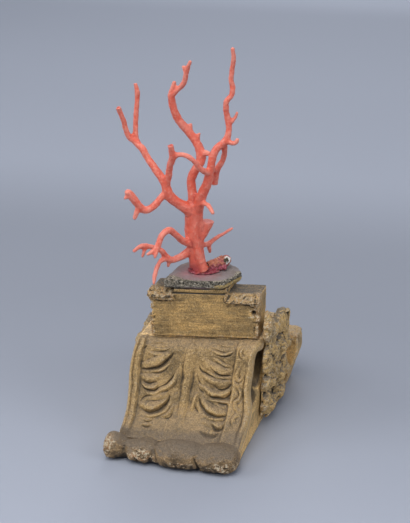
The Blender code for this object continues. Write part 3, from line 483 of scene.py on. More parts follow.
def gilt_finish(name, gold, umber, dust_colour, dust, grime_and_shade, chips, streaks=0.0, bump=0.5):
    """A finish of worn gilding, with its own colours and amounts."""
    colours = {"Gold": gold, "Umber": umber, "Dust Color": dust_colour}
    values = {label: (*colour, 1) for label, colour in colours.items()}
    values.update({"Dust": dust, "Grime and Shade": grime_and_shade, "Chips": chips, "Streaks": streaks})
    return finish_of(name, GILDING, values, bump)


ROLL_DUST = (0.145, 0.112, 0.08)
profile = smooth_route(FRONT_PROFILE, 1.0)
down_steps = np.concatenate([[0], np.cumsum(np.hypot(*np.diff(profile, axis=0).T))])
slopes = np.gradient(profile, axis=0)
outward = np.stack([slopes[:, 1], -slopes[:, 0]], 1) / np.hypot(*slopes.T)[:, None]
FRONT_LENGTH = down_steps[-1]


def front_places(across, down, height):
    """The points at these places on the front, and this high over the face of its rails."""
    y, z, out_y, out_z = (np.interp(down, down_steps, column) for column in (*profile.T, *outward.T))
    hollow_side = step_up(0, 26, down) * (1 - step_up(45, 64, down))
    across = across - EDGE_WASTE * hollow_side * step_up(30, FRONT_HALF, across)
    return np.stack(out_of_true(FRONT_MIDDLE + across, y + out_y * height, z + out_z * height), 1)


# noise_vector draws its offsets by chance, so that they are seeded here.
noise.seed_set(11)
bm = bmesh.new()
bmesh.ops.create_grid(bm, x_segments=FACES_ACROSS, y_segments=FACES_DOWN, size=0.5)
skirt = bmesh.ops.extrude_edge_only(bm, edges=[e for e in bm.edges if e.is_boundary])["geom"]
behind = [g for g in skirt if isinstance(g, bmesh.types.BMVert)]
# The back is closed with strips from side to side, so that none of them cuts the hollow of the curl.
back_rim = [g for g in skirt if isinstance(g, bmesh.types.BMEdge)]
sides = [e for e in back_rim if all(abs(v.co.x) > 0.499 and abs(v.co.y) < 0.499 for v in e.verts)]
bmesh.ops.bridge_loops(bm, edges=sides)
bmesh.ops.holes_fill(bm, edges=[e for e in bm.edges if e.is_boundary], sides=0)
bm.verts.index_update()
is_behind = np.zeros(len(bm.verts), bool)
is_behind[[v.index for v in behind]] = True
flat = np.array([v.co[:2] for v in bm.verts])
across = flat[:, 0] * 2 * FRONT_HALF
down = (0.5 - flat[:, 1]) * FRONT_LENGTH
wobble = lumps_at([(a / 5, d / 5, 3.0) for a, d in zip(across, down)], 0.8)
crumbs = lumps_at([(a / 1.3, d / 1.3, 7.0) for a, d in zip(across, down)], 0.8, 2)
fade = 1 - step_up(FRONT_LENGTH - 7, FRONT_LENGTH, down)
fade *= 0.35 + 0.65 * step_up(3, 12, down)
foot_dip = 3.6 * step_up(FRONT_LENGTH - 9, FRONT_LENGTH, down)
height = -1.0 - foot_dip + (front_relief(across, down) + 1.0) * fade + 0.35 * wobble + 0.13 * crumbs
edge_round = 1.3 * step_up(FRONT_HALF - 1.6, FRONT_HALF, np.abs(across)) ** 2
places = front_places(across, down, np.where(is_behind, -BACK_DEPTH, height - edge_round))
for vert, point in zip(bm.verts, places):
    vert.co = Vector(point) * MM
bmesh.ops.recalc_face_normals(bm, faces=bm.faces[:])
mesh = mesh_of("carved_front", bm)
mark_relief(mesh, 40, 1.9)
foot_dust = step_up(FRONT_LENGTH - 20, FRONT_LENGTH - 7, down)
on_face = (1 - is_behind) * (np.abs(across) < FRONT_HALF - 0.4)
mark(mesh, "dusty", np.maximum(foot_dust, 0.6 * step_up(11, 2, down)) * on_face)
gilt_front = gilt_finish("gilt front", (0.37, 0.255, 0.118), (0.145, 0.104, 0.056), ROLL_DUST, 0.6, 0.85, 0.4)
carved_front = add_piece("carved_front", mesh, gilt_front)
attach(carved_front, "root")
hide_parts("console_scroll")

# ---------------------------------------------------------------- the console's body and its foot roll
# Behind the front the body is a block of limewood, sawn to the same curl and gilt on its sides. An
# oval is gouged out of each side. Its foot is turned under into a roll, knocked and mended over the
# years, whose lumps lie under a layer of dust.
BODY_HALF, BODY_BACK, BODY_WASTE = 46.2, 69.0, EDGE_WASTE + 0.8
BODY_OUTLINE = [
    (-10, SHOULDER - 0.3), *((y + 6.0, z - 3.8) for y, z in FRONT_PROFILE[2:-1]), (-54, 12), (-58, 7),
    (-59, 0.4), (BODY_BACK, 0), (BODY_BACK, 47), (64, 62), (55, 73), (43, 79.5), (30, SHOULDER - 0.3),
]
EYE_PLACE, EYE_DEPTH, EYE_TILT = (-13.0, 57.5), 7.5, math.radians(-12)
EYE_WIDE, EYE_HIGH = 14.0, 19.0
# The roll's middle line and its thickness, as (x, y, z, radius), from its left end to its right.
ROLL = [
    (-52.6, -66, 9.8, 4.5), (-51.6, -66, 9.8, 8), (-49, -66, 9.8, 9.8), (-45, -66, 10, 10.2),
    (-40, -66, 9.4, 9.2), (-37, -66, 8.8, 8), (-33, -66, 9.2, 8.8), (-25, -66, 10, 10.2),
    (-18, -66, 10, 10.2), (-13.5, -66, 9, 8.6), (-10, -66.5, 9.8, 9.6), (-3, -67.5, 11.8, 11.8),
    (9, -68, 12, 12), (17, -67.6, 11, 10.6), (20, -67.4, 10.2, 9.6), (25, -67, 11.2, 11.2),
    (33, -66.6, 11.6, 11.6), (39, -66.5, 11.6, 11), (43.5, -66.5, 12.2, 9.6), (46.8, -66.5, 12.8, 7.4),
    (48.4, -66.5, 13.2, 4.2),
]
# The roll sags by this share beside its left knob, and slants back to the right. Its creases are
# (x, depth, half width), and its worn and chipped places are (x, y, z, radius).
ROLL_SAG, ROLL_SLANT = 0.17, 0.05
ROLL_CREASES = ((-37.0, 1.8, 3.6), (-10.5, 1.2, 1.4), (20.0, 1.8, 1.2), (6.0, 0.6, 3.5))
ROLL_WEAR = (
    (-50, -70, 13, 8.5), (-23, -75, 8.5, 8), (-14, -76, 7.5, 5), (8, -76, 5, 7), (37.5, -76, 9, 4.5),
    (30, -75, 5, 4.5), (43.5, -73, 8, 6), (25, -75, 3.5, 5),
)
# Lumps of the roll as (x, y, z, radius): chips and the remains of carved fruit.
ROLL_LUMPS = [
    (-28, -72, 9, 6), (-20.5, -71.5, 8, 6.2), (-47.6, -68, 13.5, 5.4), (-46, -72, 6.5, 5.2),
    (2, -74, 9.5, 6.5), (13, -73, 8, 6), (27, -72.5, 9.5, 6.2), (37.5, -72.5, 8.5, 6), (42.5, -71, 12, 5.4),
    (34, -62, 17, 5.5), (36.5, -76, 12.5, 1.7), (40, -72, 6.6, 5.6), (43.5, -70, 7.2, 5.2),
    (12, -62, 15, 5.2), (-22, -61, 15.5, 6),
]
# A bar inside the roll joins it to the front's foot.
ROLL_BAR = [(-64, 5), (-50, 5), (-50, 13.5), (-62, 13)]


def extruded(bm, outline, low, high, upright=Matrix()):
    """Adds a closed board: this outline, from low to high along the third axis, set upright."""
    ring = [bm.verts.new((a, b, low)) for a, b in outline]
    sheet = bm.faces.new(ring)
    made = bmesh.ops.extrude_face_region(bm, geom=[sheet], use_keep_orig=True)["geom"]
    top = [g for g in made if isinstance(g, bmesh.types.BMVert)]
    bmesh.ops.translate(bm, vec=(0, 0, high - low), verts=top)
    bmesh.ops.transform(bm, matrix=upright, verts=ring + top)
    bmesh.ops.recalc_face_normals(bm, faces=list({f for v in ring + top for f in v.link_faces}))


def ball(bm, place, radii, turn=Matrix(), sides=14):
    """Adds an egg shape of these half sizes, turned and then put in its place."""
    made = bmesh.ops.create_uvsphere(bm, u_segments=sides, v_segments=sides // 2 + 1, radius=1.0)["verts"]
    wanted = Matrix.Translation(place) @ turn @ Matrix.Diagonal((*radii, 1))
    bmesh.ops.transform(bm, matrix=wanted, verts=made)
    return made


# How far ahead a round tip's rings lie, and how wide they are, as shares of the rod's end.
ROUND_TIP = ((0.35, 0.92), (0.65, 0.72), (0.88, 0.42))


def rod(bm, route, step, sides=12, blunt=False):
    """Adds a closed tapering rod along a route of (x, y, z, radius), round or blunt at its far end."""
    points = smooth_route(route, step)
    last, ahead = points[-1], (points[-1] - points[-2])[:3]
    ahead *= last[3] / np.linalg.norm(ahead)
    if not blunt:
        tips = [[*(last[:3] + ahead * reach), last[3] * share] for reach, share in ROUND_TIP]
        points = np.vstack([points, tips])
    ring = bmesh.ops.create_circle(bm, segments=sides, radius=1.0)["verts"]
    edges = list({e for v in ring for e in v.link_edges})
    bmesh.ops.contextual_create(bm, geom=edges)
    placed, turned, facing = Matrix(), Matrix(), Vector((0, 0, 1))
    for i, point in enumerate(points):
        near, far = points[max(i - 1, 0)], points[min(i + 1, len(points) - 1)]
        heading = Vector((far - near)[:3]).normalized()
        turned = facing.rotation_difference(heading).to_matrix().to_4x4() @ turned
        facing = heading
        wanted = Matrix.Translation(point[:3]) @ turned @ Matrix.Scale(point[3], 4)
        if i:
            made = bmesh.ops.extrude_edge_only(bm, edges=edges)["geom"]
            ring = [g for g in made if isinstance(g, bmesh.types.BMVert)]
            edges = [g for g in made if isinstance(g, bmesh.types.BMEdge)]
        bmesh.ops.transform(bm, matrix=wanted @ placed.inverted(), verts=ring)
        placed = wanted
    bmesh.ops.contextual_create(bm, geom=edges)


def grown_together(name, bm, voxel, softening, closing=0.0):
    """The closed shapes of a bmesh in millimetres, as one skin with faces about one voxel wide.

    With closing, the shapes are that much too fat: the skin is drawn in again by as much, so the
    crooks between them stay filled.
    """
    bmesh.ops.scale(bm, vec=(MM, MM, MM), verts=bm.verts[:])
    loose = bpy.data.objects.new(name, mesh_of(name, bm))
    bpy.context.scene.collection.objects.link(loose)
    for shrink in (closing, 0.0) if closing else (0.0,):
        fuse = loose.modifiers.new("Grow together", "REMESH")
        fuse.mode, fuse.voxel_size = "VOXEL", voxel * MM
        soften = loose.modifiers.new("Soften", "SMOOTH")
        soften.factor, soften.iterations = 0.5, softening
        if shrink:
            draw_in = loose.modifiers.new("Draw in", "DISPLACE")
            draw_in.strength, draw_in.mid_level = -shrink * MM, 0.0
    graph = bpy.context.evaluated_depsgraph_get()
    grown = bpy.data.meshes.new_from_object(loose.evaluated_get(graph))
    bpy.data.objects.remove(loose)
    return grown


def twisted(mesh):
    """Takes a straight piece to its place in the old console, and keeps it inside the CAD's box."""
    moved = np.stack(out_of_true(*points_of(mesh).T), 1)
    move_points(mesh, np.clip(moved, *(np.array(cad_box) / MM)))


SIDE_ON = Matrix(((0, 0, 1, 0), (1, 0, 0, 0), (0, 1, 0, 0), (0, 0, 0, 1)))
bm = bmesh.new()
extruded(bm, BODY_OUTLINE, FRONT_MIDDLE - BODY_HALF, FRONT_MIDDLE + BODY_HALF, SIDE_ON)
mesh = grown_together("console_body", bm, voxel=0.95, softening=2)
points = points_of(mesh)
x, y, z = points.T
aside, back, up = x - FRONT_MIDDLE, y - EYE_PLACE[0], z - EYE_PLACE[1]
along_eye = (back * math.cos(EYE_TILT) + up * math.sin(EYE_TILT)) / EYE_WIDE
up_eye = (up * math.cos(EYE_TILT) - back * math.sin(EYE_TILT)) / EYE_HIGH
sunk = EYE_DEPTH * np.sqrt(np.clip(1 - along_eye**2 - up_eye**2, 0, 1))
sunk *= step_up(BODY_HALF - 2, BODY_HALF - 1, np.abs(aside))
waste = step_up(-10, -20, y) * step_up(24, 34, z) * (1 - step_up(58, 80, z))
sunk = np.maximum(sunk, BODY_WASTE * waste * step_up(30, BODY_HALF, aside))
x -= np.sign(aside) * sunk
move_points(mesh, points)
off_floor = step_up(0.3, 2.5, z)
roughen(mesh, 9.0, 0.5, off_floor)
roughen(mesh, 2.2, 0.12, off_floor)
twisted(mesh)
# Painted shade: the relief is lowered in the gouged oval so the gilding paints it dark, and the worn mark
# thins its dust.
mark_relief(mesh, 10, 1.6, 0.75 * sunk / EYE_DEPTH)
mark(mesh, "worn", 1.2 * sunk / EYE_DEPTH)
gold, umber, dust = (0.67, 0.457, 0.197), (0.31, 0.21, 0.098), (0.24, 0.205, 0.175)
gilt_sides = gilt_finish("gilt sides", gold, umber, dust, 0.5, 0.85, 0.3)
console_body = add_piece("console_body", mesh, gilt_sides)
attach(console_body, "root")
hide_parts("console_scroll")

bm = bmesh.new()
rod(bm, ROLL, 1.2, sides=40, blunt=True)
for *place, radius in ROLL_LUMPS:
    ball(bm, place, (radius, radius * 0.92, radius * 0.88))
extruded(bm, ROLL_BAR, -44.0, 46.0, SIDE_ON)
mesh = grown_together("foot_roll", bm, voxel=0.62, softening=5)
points = points_of(mesh)
x, y, z = points.T
z *= 1 - ROLL_SAG * step_up(-47, -32, x)
y += ROLL_SLANT * np.clip(x + 45, 0, None)
move_points(mesh, points)
off_floor, in_front = step_up(0.4, 3.0, z), step_up(-63, -69, y)
roughen(mesh, 6.5, 0.8, off_floor * (0.3 + 0.7 * in_front))
points = points_of(mesh)
worn = np.zeros(len(points))
for *place, radius in ROLL_WEAR:
    away = np.sqrt(((points - place) ** 2).sum(1)) / radius
    worn = np.maximum(worn, 1 - step_up(0.6, 1.1, away))
roughen(mesh, 1.7, 0.55, off_floor * worn)
points = points_of(mesh)
x, y, z = points.T
for crease_x, deep, half in ROLL_CREASES:
    from_crease = x - crease_x - 1.6 * np.sin(z / 3.0)
    y += deep * np.exp(-((from_crease / half) ** 2)) * in_front * step_up(17, 11, z)
z[:] = np.maximum(z, 0.0)
move_points(mesh, points)
twisted(mesh)
# Painted shade: where the roll faces down its relief is lowered, so the gilding paints it dark as the shadow
# where it curls under.
underside_shade = step_up(0.15, -0.6, normals_of(mesh)[:, 2])
mark_relief(mesh, 26, 1.7, 0.36 * underside_shade)
mark(mesh, "worn", worn * (1 - underside_shade))
gold, umber = (0.22, 0.151, 0.081), (0.085, 0.063, 0.045)
gilt_roll = gilt_finish("dusty roll", gold, umber, ROLL_DUST, 1.0, 0.8, 0.8, bump=0.6)
foot_roll = add_piece("foot_roll", mesh, gilt_roll)
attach(foot_roll, "root")
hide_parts("console_scroll")

# ---------------------------------------------------------------- the side garlands and the back board
# Flowers, leaves and fruit hang down both sides, carved in thin boards of limewood that are glued
# on and gilt with the rest. The right one is the fuller: a bud hangs in the side's oval hollow and
# a long leaf climbs beside the block. A plain board closes the back, where the console met a wall.
WALL = 46.5 + 0.9
BUD_Y = -6.5
# The numbers of a flower are (y, z, radius, height, petals, turn), and those of a leaf are
# (y, z, length, width, turn). GROUND is the outline of the board they are carved from.
FLOWERS = [
    (4, 65, 12, 8, 5, 20), (29, 55, 13, 9, 6, 15), (52, 50, 11, 7, 5, 50), (2, 38, 11, 8, 5, 0),
    (29, 30, 13, 9, 6, 40), (53, 25, 11, 7, 5, 0), (6, 13.5, 11, 8, 5, 20),
]
LEAVES = [
    (12, 82, 20, 10, 60), (44, 68, 20, 10, -25), (16, 56, 20, 11, 80), (42, 60, 22, 11, 100),
    (-8, 42, 16, 9, 60), (16, 42, 20, 11, 140), (42, 38, 20, 11, 70), (-6, 24, 18, 9, 70),
    (24, 12, 24, 10, 5), (46, 12, 18, 9, 110),
]
GROUND = [
    (-8, 10), (-9, 34), (-9, 57), (-6, 72), (-6, 90), (8, 90), (16, 84), (36, 84), (52, 64), (58, 38),
    (52, 14), (24, 4),
]
# Each garland's side, how far back it is shifted, its top, which leaves it has, its scroll's eye as
# (y, z, size), and where it is worn, from front to back and upwards.
GARLANDS = {
    "right_garland": (1, 0.0, 90.0, 1, (27.0, 80.0, 1.0), (2, -4), (74, 80)),
    "left_garland": (-1, 9.0, 78.0, 2, (33.0, 67.0, 0.78), (24, 10), (50, 62)),
}


def turned_about_x(degrees):
    return Matrix.Rotation(math.radians(degrees), 4, "X")


def add_flower(bm, y, z, radius, height, petals, turn):
    """Adds a flower seen face on, growing along +X: two rings of cupped petals round a seedy heart."""
    ball(bm, (0.2 * height, y, z), (0.42 * height, 0.62 * radius, 0.62 * radius))
    for ring, (reach, lift, wide, tilt) in enumerate(((0.62, 0.4, 0.4, 24), (0.34, 0.66, 0.3, 42))):
        for k in range(petals):
            way = turn + 360 / petals * (k + 0.5 * ring)
            petal = ball(bm, (0, 0, 0), (0.15 * height, wide * radius, 0.38 * radius), sides=12)
            for vert in petal:
                u, v = vert.co.y / (wide * radius), vert.co.z / (0.38 * radius)
                vert.co.x += height * (0.13 * u * u - 0.1 * (v > 0) * v * v)
                vert.co.y *= 1 + 0.3 * v
            spread = Matrix.Translation((lift * height, 0, reach * radius))
            spread = turned_about_x(way) @ spread @ Matrix.Rotation(math.radians(-tilt), 4, "Y")
            bmesh.ops.transform(bm, matrix=Matrix.Translation((0, y, z)) @ spread, verts=petal)
    for k in range(6):
        side = math.radians(turn + 60 * k)
        seed = (0.86 * height, y + 0.13 * radius * math.sin(side), z + 0.13 * radius * math.cos(side))
        ball(bm, seed, (0.09 * radius,) * 3, sides=8)


def add_leaf(bm, y, z, length, width, turn):
    """Adds a pointed leaf lying on the wall, with scalloped sides and a vein along its fold."""
    leaf = ball(bm, (0, 0, 0), (4.0, width / 2, length / 2), sides=28)
    for vert in leaf:
        u, v = vert.co.y / (width / 2), vert.co.z / (length / 2)
        vert.co.y *= (1 - 0.45 * v) * (1 + 0.16 * math.sin(9 * v))
        vein = math.exp(-((u / 0.16) ** 2))
        vert.co.x += 0.9 * abs(u) - 1.0 * vein + 0.35 * math.cos(14 * (v - abs(u)))
    bmesh.ops.transform(bm, matrix=Matrix.Translation((2.2, y, z)) @ turned_about_x(turn - 90), verts=leaf)


def add_scroll(bm, y, z, size):
    """Adds a drum with a domed middle, and a ridge that winds in over it."""
    ways = [math.tau * k / 28 for k in range(28)]
    drum = [(y + 9.6 * size * math.cos(way), z + 9.6 * size * math.sin(way)) for way in ways]
    extruded(bm, drum, -1.0, 5.6 * size, SIDE_ON)
    ball(bm, (3.0 * size, y, z), (5.0 * size, 10.6 * size, 10.6 * size), sides=28)
    ridge = []
    for k in range(15):
        reach = size * (9.0 - 0.52 * k)
        here = (size * (7.4 - 0.1 * k), y + reach * math.sin(k / 2), z + reach * math.cos(k / 2), 1.5)
        ridge.append(here)
    rod(bm, ridge, 1.5)


gold, umber, dust = (0.42, 0.29, 0.125), (0.15, 0.105, 0.05), (0.15, 0.127, 0.098)
gilt_garland = gilt_finish("gilt garland", gold, umber, dust, 0.95, 1.0, 0.6)
for name, (side, shift, top, every, eye, worn_y, worn_z) in GARLANDS.items():
    bm = bmesh.new()
    extruded(bm, [(y + shift, min(z, top)) for y, z in GROUND], -2.0, 1.0, SIDE_ON)
    for y, z, *rest in FLOWERS:
        add_flower(bm, y + shift, z, *rest)
    for y, z, *rest in LEAVES[::every]:
        add_leaf(bm, y + shift, min(z, top - 5), *rest)
    add_scroll(bm, *eye)
    if name == "right_garland":
        add_leaf(bm, -10.5, 91.0, 27.0, 11.0, 93)
        add_leaf(bm, -4.0, 86.0, 18.0, 8.0, 78)
        add_flower(bm, 31.0, 13.5, 11.0, 9.5, 6, 10)
        ball(bm, (1.5, BUD_Y, 57.0), (5.5, 5.2, 9.0), sides=20)
        for tilt in (-24, 24):
            ball(bm, (1.0, BUD_Y + tilt / 8, 66.0), (3.6, 2.6, 6.5), turned_about_x(tilt))
        rod(bm, [(3.0, -6.0, 66.0, 1.6), (2.5, -4.0, 74.0, 1.5), (2.5, 0.0, 80.0, 1.4)], 2.0)
    mesh = grown_together(name, bm, voxel=0.54, softening=1)
    points = points_of(mesh)
    out = points[:, 0]
    out[:] = np.maximum(out, 0.1)
    move_points(mesh, points)
    off_wall = step_up(0.1, 1.0, out)
    roughen(mesh, 4.0, 0.55, off_wall)
    roughen(mesh, 1.7, 0.42, off_wall)
    points = points_of(mesh)
    x, y, z = points.T
    x[:] = FRONT_MIDDLE + side * (WALL + x)
    move_points(mesh, points)
    if side < 0:
        mesh.flip_normals()
    twisted(mesh)
    mark_relief(mesh, 24, 1.1)
    mark(mesh, "worn", 0.55 * step_up(*worn_y, y) * step_up(*worn_z, z))
    garland = add_piece(f"{name}_carved", mesh, gilt_garland)
    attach(garland, "root")
    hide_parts(name)

BOARD_OUTLINE = [(-54, 47), (57, 47), (57.5, 31), (50, 0), (-48, 0), (-54.5, 31)]
BOARD_THICK, BOARD_GAP = 18.0, 0.35
bm = bmesh.new()
facing = Matrix(((1, 0, 0, 0), (0, 0, -1, BODY_BACK + BOARD_THICK + BOARD_GAP), (0, 1, 0, 0), (0, 0, 0, 1)))
extruded(bm, BOARD_OUTLINE, 0.0, BOARD_THICK, facing)
mesh = grown_together("back_board", bm, voxel=0.8, softening=3)
height = points_of(mesh)[:, 2]
upper = step_up(38, 46, height)
roughen(mesh, 7.0, 0.5 + 0.9 * upper, step_up(0.3, 2.5, height))
roughen(mesh, 3.0, 0.3, upper)
twisted(mesh)
mark_relief(mesh, 12, 1.4)
mark(mesh, "worn", 0.6 * step_up(38, 45, points_of(mesh)[:, 2]))
gold, umber, dust = (0.5, 0.34, 0.15), (0.2, 0.13, 0.065), (0.13, 0.105, 0.08)
gilt_board = gilt_finish("gilt board", gold, umber, dust, 1.0, 0.9, 0.7)
back_board = add_piece("closing_board", mesh, gilt_board)
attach(back_board, "root")
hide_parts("back_board")

# ---------------------------------------------------------------- the block and its ledge
# A plain block of the same wood stands on the scroll, planed level and gilt. A ledge ran round its
# top: only two stretches are left at the front, broken back to rough gesso, and the right end of
# the block has lost its top.
SLAB_TOP, SLAB_THICK = 130.0, 8.4
BLOCK_TOP, BLOCK_FOOT = SLAB_TOP - SLAB_THICK - 0.35, 81.8
BLOCK_LEFT, BLOCK_RIGHT = -35.3, 44.0
BLOCK_FRONT, BLOCK_BACK = -13.2, 9.0
STEP_X, STEP_TOP = 20.5, 117.6
LEDGE_FRONT, LEDGE_BACK, LEDGE_DROP = BLOCK_FRONT - 4.0, BLOCK_FRONT + 6, 9.0
# The ledges are broken back from this y, at this slope.
BREAK_Y, BREAK_SLOPE = -7.5, 0.6
CURL_X, CURL_Z = 41.5, 113.0
HOLE_X, HOLE_Z, HOLE_DEPTH = 40.6, 103.2, 5.0


def box(bm, low, high):
    """Adds a closed box between two corners."""
    made = bmesh.ops.create_cube(bm, size=1.0)["verts"]
    bmesh.ops.scale(bm, vec=Vector(high) - Vector(low), verts=made)
    bmesh.ops.translate(bm, vec=(Vector(high) + Vector(low)) / 2, verts=made)


bm = bmesh.new()
box(bm, (BLOCK_LEFT, BLOCK_FRONT, BLOCK_FOOT), (BLOCK_RIGHT, BLOCK_BACK, STEP_TOP - 0.6))
box(bm, (BLOCK_LEFT, BLOCK_FRONT, STEP_TOP - 4), (STEP_X, BLOCK_BACK + 4, BLOCK_TOP))
box(bm, (BLOCK_LEFT - 2.4, LEDGE_FRONT + 0.6, BLOCK_TOP - 4.5), (-20.0, LEDGE_BACK, BLOCK_TOP - 0.2))
box(bm, (BLOCK_LEFT - 1.6, LEDGE_FRONT + 2.0, BLOCK_TOP - LEDGE_DROP), (-19.0, LEDGE_BACK, BLOCK_TOP - 3))
box(bm, (STEP_X - 1, LEDGE_FRONT + 0.6, STEP_TOP - 4.5), (BLOCK_RIGHT + 0.6, LEDGE_BACK, STEP_TOP - 0.3))
box(bm, (STEP_X + 1, LEDGE_FRONT + 2.6, STEP_TOP - 7), (BLOCK_RIGHT, LEDGE_BACK, STEP_TOP - 3))
# What is left of a leaf down the left edge, and the curl where the right ledge ends.
for z, reach in ((106.0, 1.4), (99.0, 0.9), (92.5, 1.5), (112.0, 1.2)):
    ball(bm, (BLOCK_LEFT + 0.4, BLOCK_FRONT + 1.5, z), (reach, 2.4, 3.4))
for k in range(9):
    way = math.radians(40 * k)
    place = (CURL_X + 3.2 * math.cos(way), BLOCK_FRONT - 1.0, CURL_Z + 3.6 * math.sin(way))
    ball(bm, place, (1.3, 1.7, 1.3), sides=8)
for z, reach in ((86.0, 1.6), (91.5, 1.2), (97.5, 1.7), (108.0, 1.4), (113.5, 1.7)):
    ball(bm, (BLOCK_RIGHT - 0.4, BLOCK_FRONT + 2.5, z), (reach, 4.0, 3.2))
mesh = grown_together("block", bm, voxel=0.62, softening=2)
points = points_of(mesh)
x, y, z = points.T
front_face = step_up(BLOCK_FRONT + 2, BLOCK_FRONT + 0.5, y)
ledge_zone = np.maximum(
    step_up(-16.5, -20.5, x) * step_up(BLOCK_TOP - 12, BLOCK_TOP - 9, z),
    step_up(STEP_X - 3, STEP_X, x) * step_up(STEP_TOP - 8, STEP_TOP - 6, z),
)
in_front = step_up(BREAK_Y, BREAK_Y - 2, y)
break_top = np.where(x > STEP_X, STEP_TOP, BLOCK_TOP) - BREAK_SLOPE * np.maximum(BREAK_Y - y, 0)
z[:] = np.where(ledge_zone > 0.5, np.minimum(z, break_top), z)
move_points(mesh, points)
right_end = step_up(BLOCK_RIGHT - 5, BLOCK_RIGHT - 2, x)
left_end = step_up(BLOCK_LEFT + 3.5, BLOCK_LEFT + 1, x)
near_end = np.maximum(right_end, left_end) * step_up(BLOCK_FRONT + 10, BLOCK_FRONT + 5, y)
low_end = step_up(BLOCK_FOOT + 0.2, BLOCK_FOOT + 2, z)
roughen(mesh, 3.6, 0.7, ledge_zone * in_front)
roughen(mesh, 1.5, 0.5, ledge_zone * (0.15 + 0.85 * in_front))
roughen(mesh, 2.4, 0.7, near_end * low_end)
roughen(mesh, 9.0, 0.5, low_end * (1 - ledge_zone))
points = points_of(mesh)
x, y, z = points.T
hole = np.hypot(x - HOLE_X, z - HOLE_Z)
y += HOLE_DEPTH * step_up(2.1, 1.2, hole) * (y < BLOCK_FRONT + 2)
streak_noise = lumps_at([(a / 22, 1.0, b / 1.1) for a, b in zip(x, z)], 0.8)
y += 0.22 * streak_noise * front_face * (1 - ledge_zone)
broken = step_up(-17, -30, x) * step_up(2, BLOCK_BACK + 4, y) * step_up(BLOCK_TOP - 22, BLOCK_TOP - 4, z)
y -= 7.0 * broken
z[:] = np.maximum(z, BLOCK_FOOT)
# Under the shelf the face is painted darker in a band, as the shadow of the shelf's overhang,
# with a groove below it that is cut in and painted darker too.
shelf_shadow_strip = front_face * step_up(-21, -19, x) * step_up(21, 19.5, x)
groove = shelf_shadow_strip * np.exp(-(((z - BLOCK_TOP + 3.6) / 0.6) ** 2))
shelf_shadow_strip *= step_up(BLOCK_TOP - 3.8, BLOCK_TOP - 3.2, z)
y += 0.9 * groove
move_points(mesh, points)
twisted(mesh)
# Painted shade: the band under the shelf and the groove lower the relief, so the gilding paints them dark.
mark_relief(mesh, 18, 1.3, 0.23 * shelf_shadow_strip + 0.25 * groove)
mark(mesh, "worn", np.maximum(0.7 * near_end, 0.8 * ledge_zone * in_front))
gold, umber, dust = (0.46, 0.3, 0.12), (0.25, 0.175, 0.08), (0.07, 0.064, 0.058)
gilt_block = gilt_finish("gilt block", gold, umber, dust, 0.95, 0.9, 0.7, streaks=0.5, bump=0.35)
block = add_piece("block", mesh, gilt_block)
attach(block, "root")
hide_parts("top_block")

# ---------------------------------------------------------------- the shelf
# The last piece of the cornice: a board with a hollow moulding under its front edge. Its top is
# bare and grey, the edge is crumbling black and green over gesso, and only the right end still
# shows its gold.
SLAB_OUTLINE = [
    (-21.8, -18.2), (-15, -18.4), (0, -16.4), (12, -14.9), (22, -14), (26.5, -5.5), (32, 5), (28, 13.5),
    (20.5, 18.5), (-11, 15.5), (-16, 9.5), (-19, -6),
]
SLAB_HOLLOW, SLAB_FOOT, EDGE_FOOT = 2.8, SLAB_TOP - SLAB_THICK, SLAB_TOP - 6.0
# The corner that is chipped off, with how far the chip reaches each way.
CHIP, CHIP_REACH = (-16.0, -18.5, 130), (2.2, 2.6, 3.0)


def shelf_wood():
    """Grey bare wood with a grainy black edge, gold left where the mark called gilt says so, and
    painted shade in its hollows.
    """
    inputs = {
        "Wood": (0.2, 0.175, 0.175, 1),
        "Edge": (0.23, 0.2, 0.15, 1),
        "Gold": (0.42, 0.3, 0.12, 1),
        "Stain": (0.34, 0.13, 0.15, 1),
    }
    outputs = ("Color", "Roughness", "Metallic", "Height")
    tree, given, into, place = new_group("Shelf wood", inputs, outputs)
    relief, gilt, edge, stain = stored(tree, "relief", "gilt", "edge", "stain")
    patches, specks = noise_at(place, 130.0, 4.0), noise_at(place, 620.0, 4.0, 0.72)
    grain = noise_at(place, 900.0, 2.0, 0.7)
    wood = mix(mask(patches, 0.35, 0.65), given["Wood"], (0.17, 0.145, 0.13, 1))
    wood = mix(mask(specks, 0.56, 0.7, 0.5), wood, (0.3, 0.28, 0.28, 1))
    stained = times(stain, plus(mask(patches, 0.3, 0.6, 0.5), 0.5))
    wood = mix(stained, wood, given["Stain"])
    crumbs = mix(mask(specks, 0.42, 0.58), (0.05, 0.045, 0.035, 1), given["Edge"])
    crumbs = mix(mask(grain, 0.53, 0.64, 0.75), crumbs, (0.45, 0.4, 0.33, 1))
    gold = mix(mask(specks, 0.5, 0.62, 0.7), given["Gold"], given["Edge"])
    colour = mix(mask(broken_up(edge, specks, 0.8), 0.4, 0.62), wood, crumbs)
    gilded = mask(broken_up(gilt, patches, 0.9), 0.42, 0.6)
    colour = mix(gilded, colour, gold)
    # Painted shade: nearly black where the relief is low.
    colour = mix(mask(minus(1.0, relief), 0.6, 0.9, 0.8), colour, (0.02, 0.017, 0.01, 1))
    shine, rough = times(gilded, 0.35), minus(0.88, times(gilded, 0.35))
    height = plus(times(specks, 0.7), times(patches, 0.3))
    put_out(tree, into, Color=colour, Roughness=rough, Metallic=shine, Height=height)
    return tree


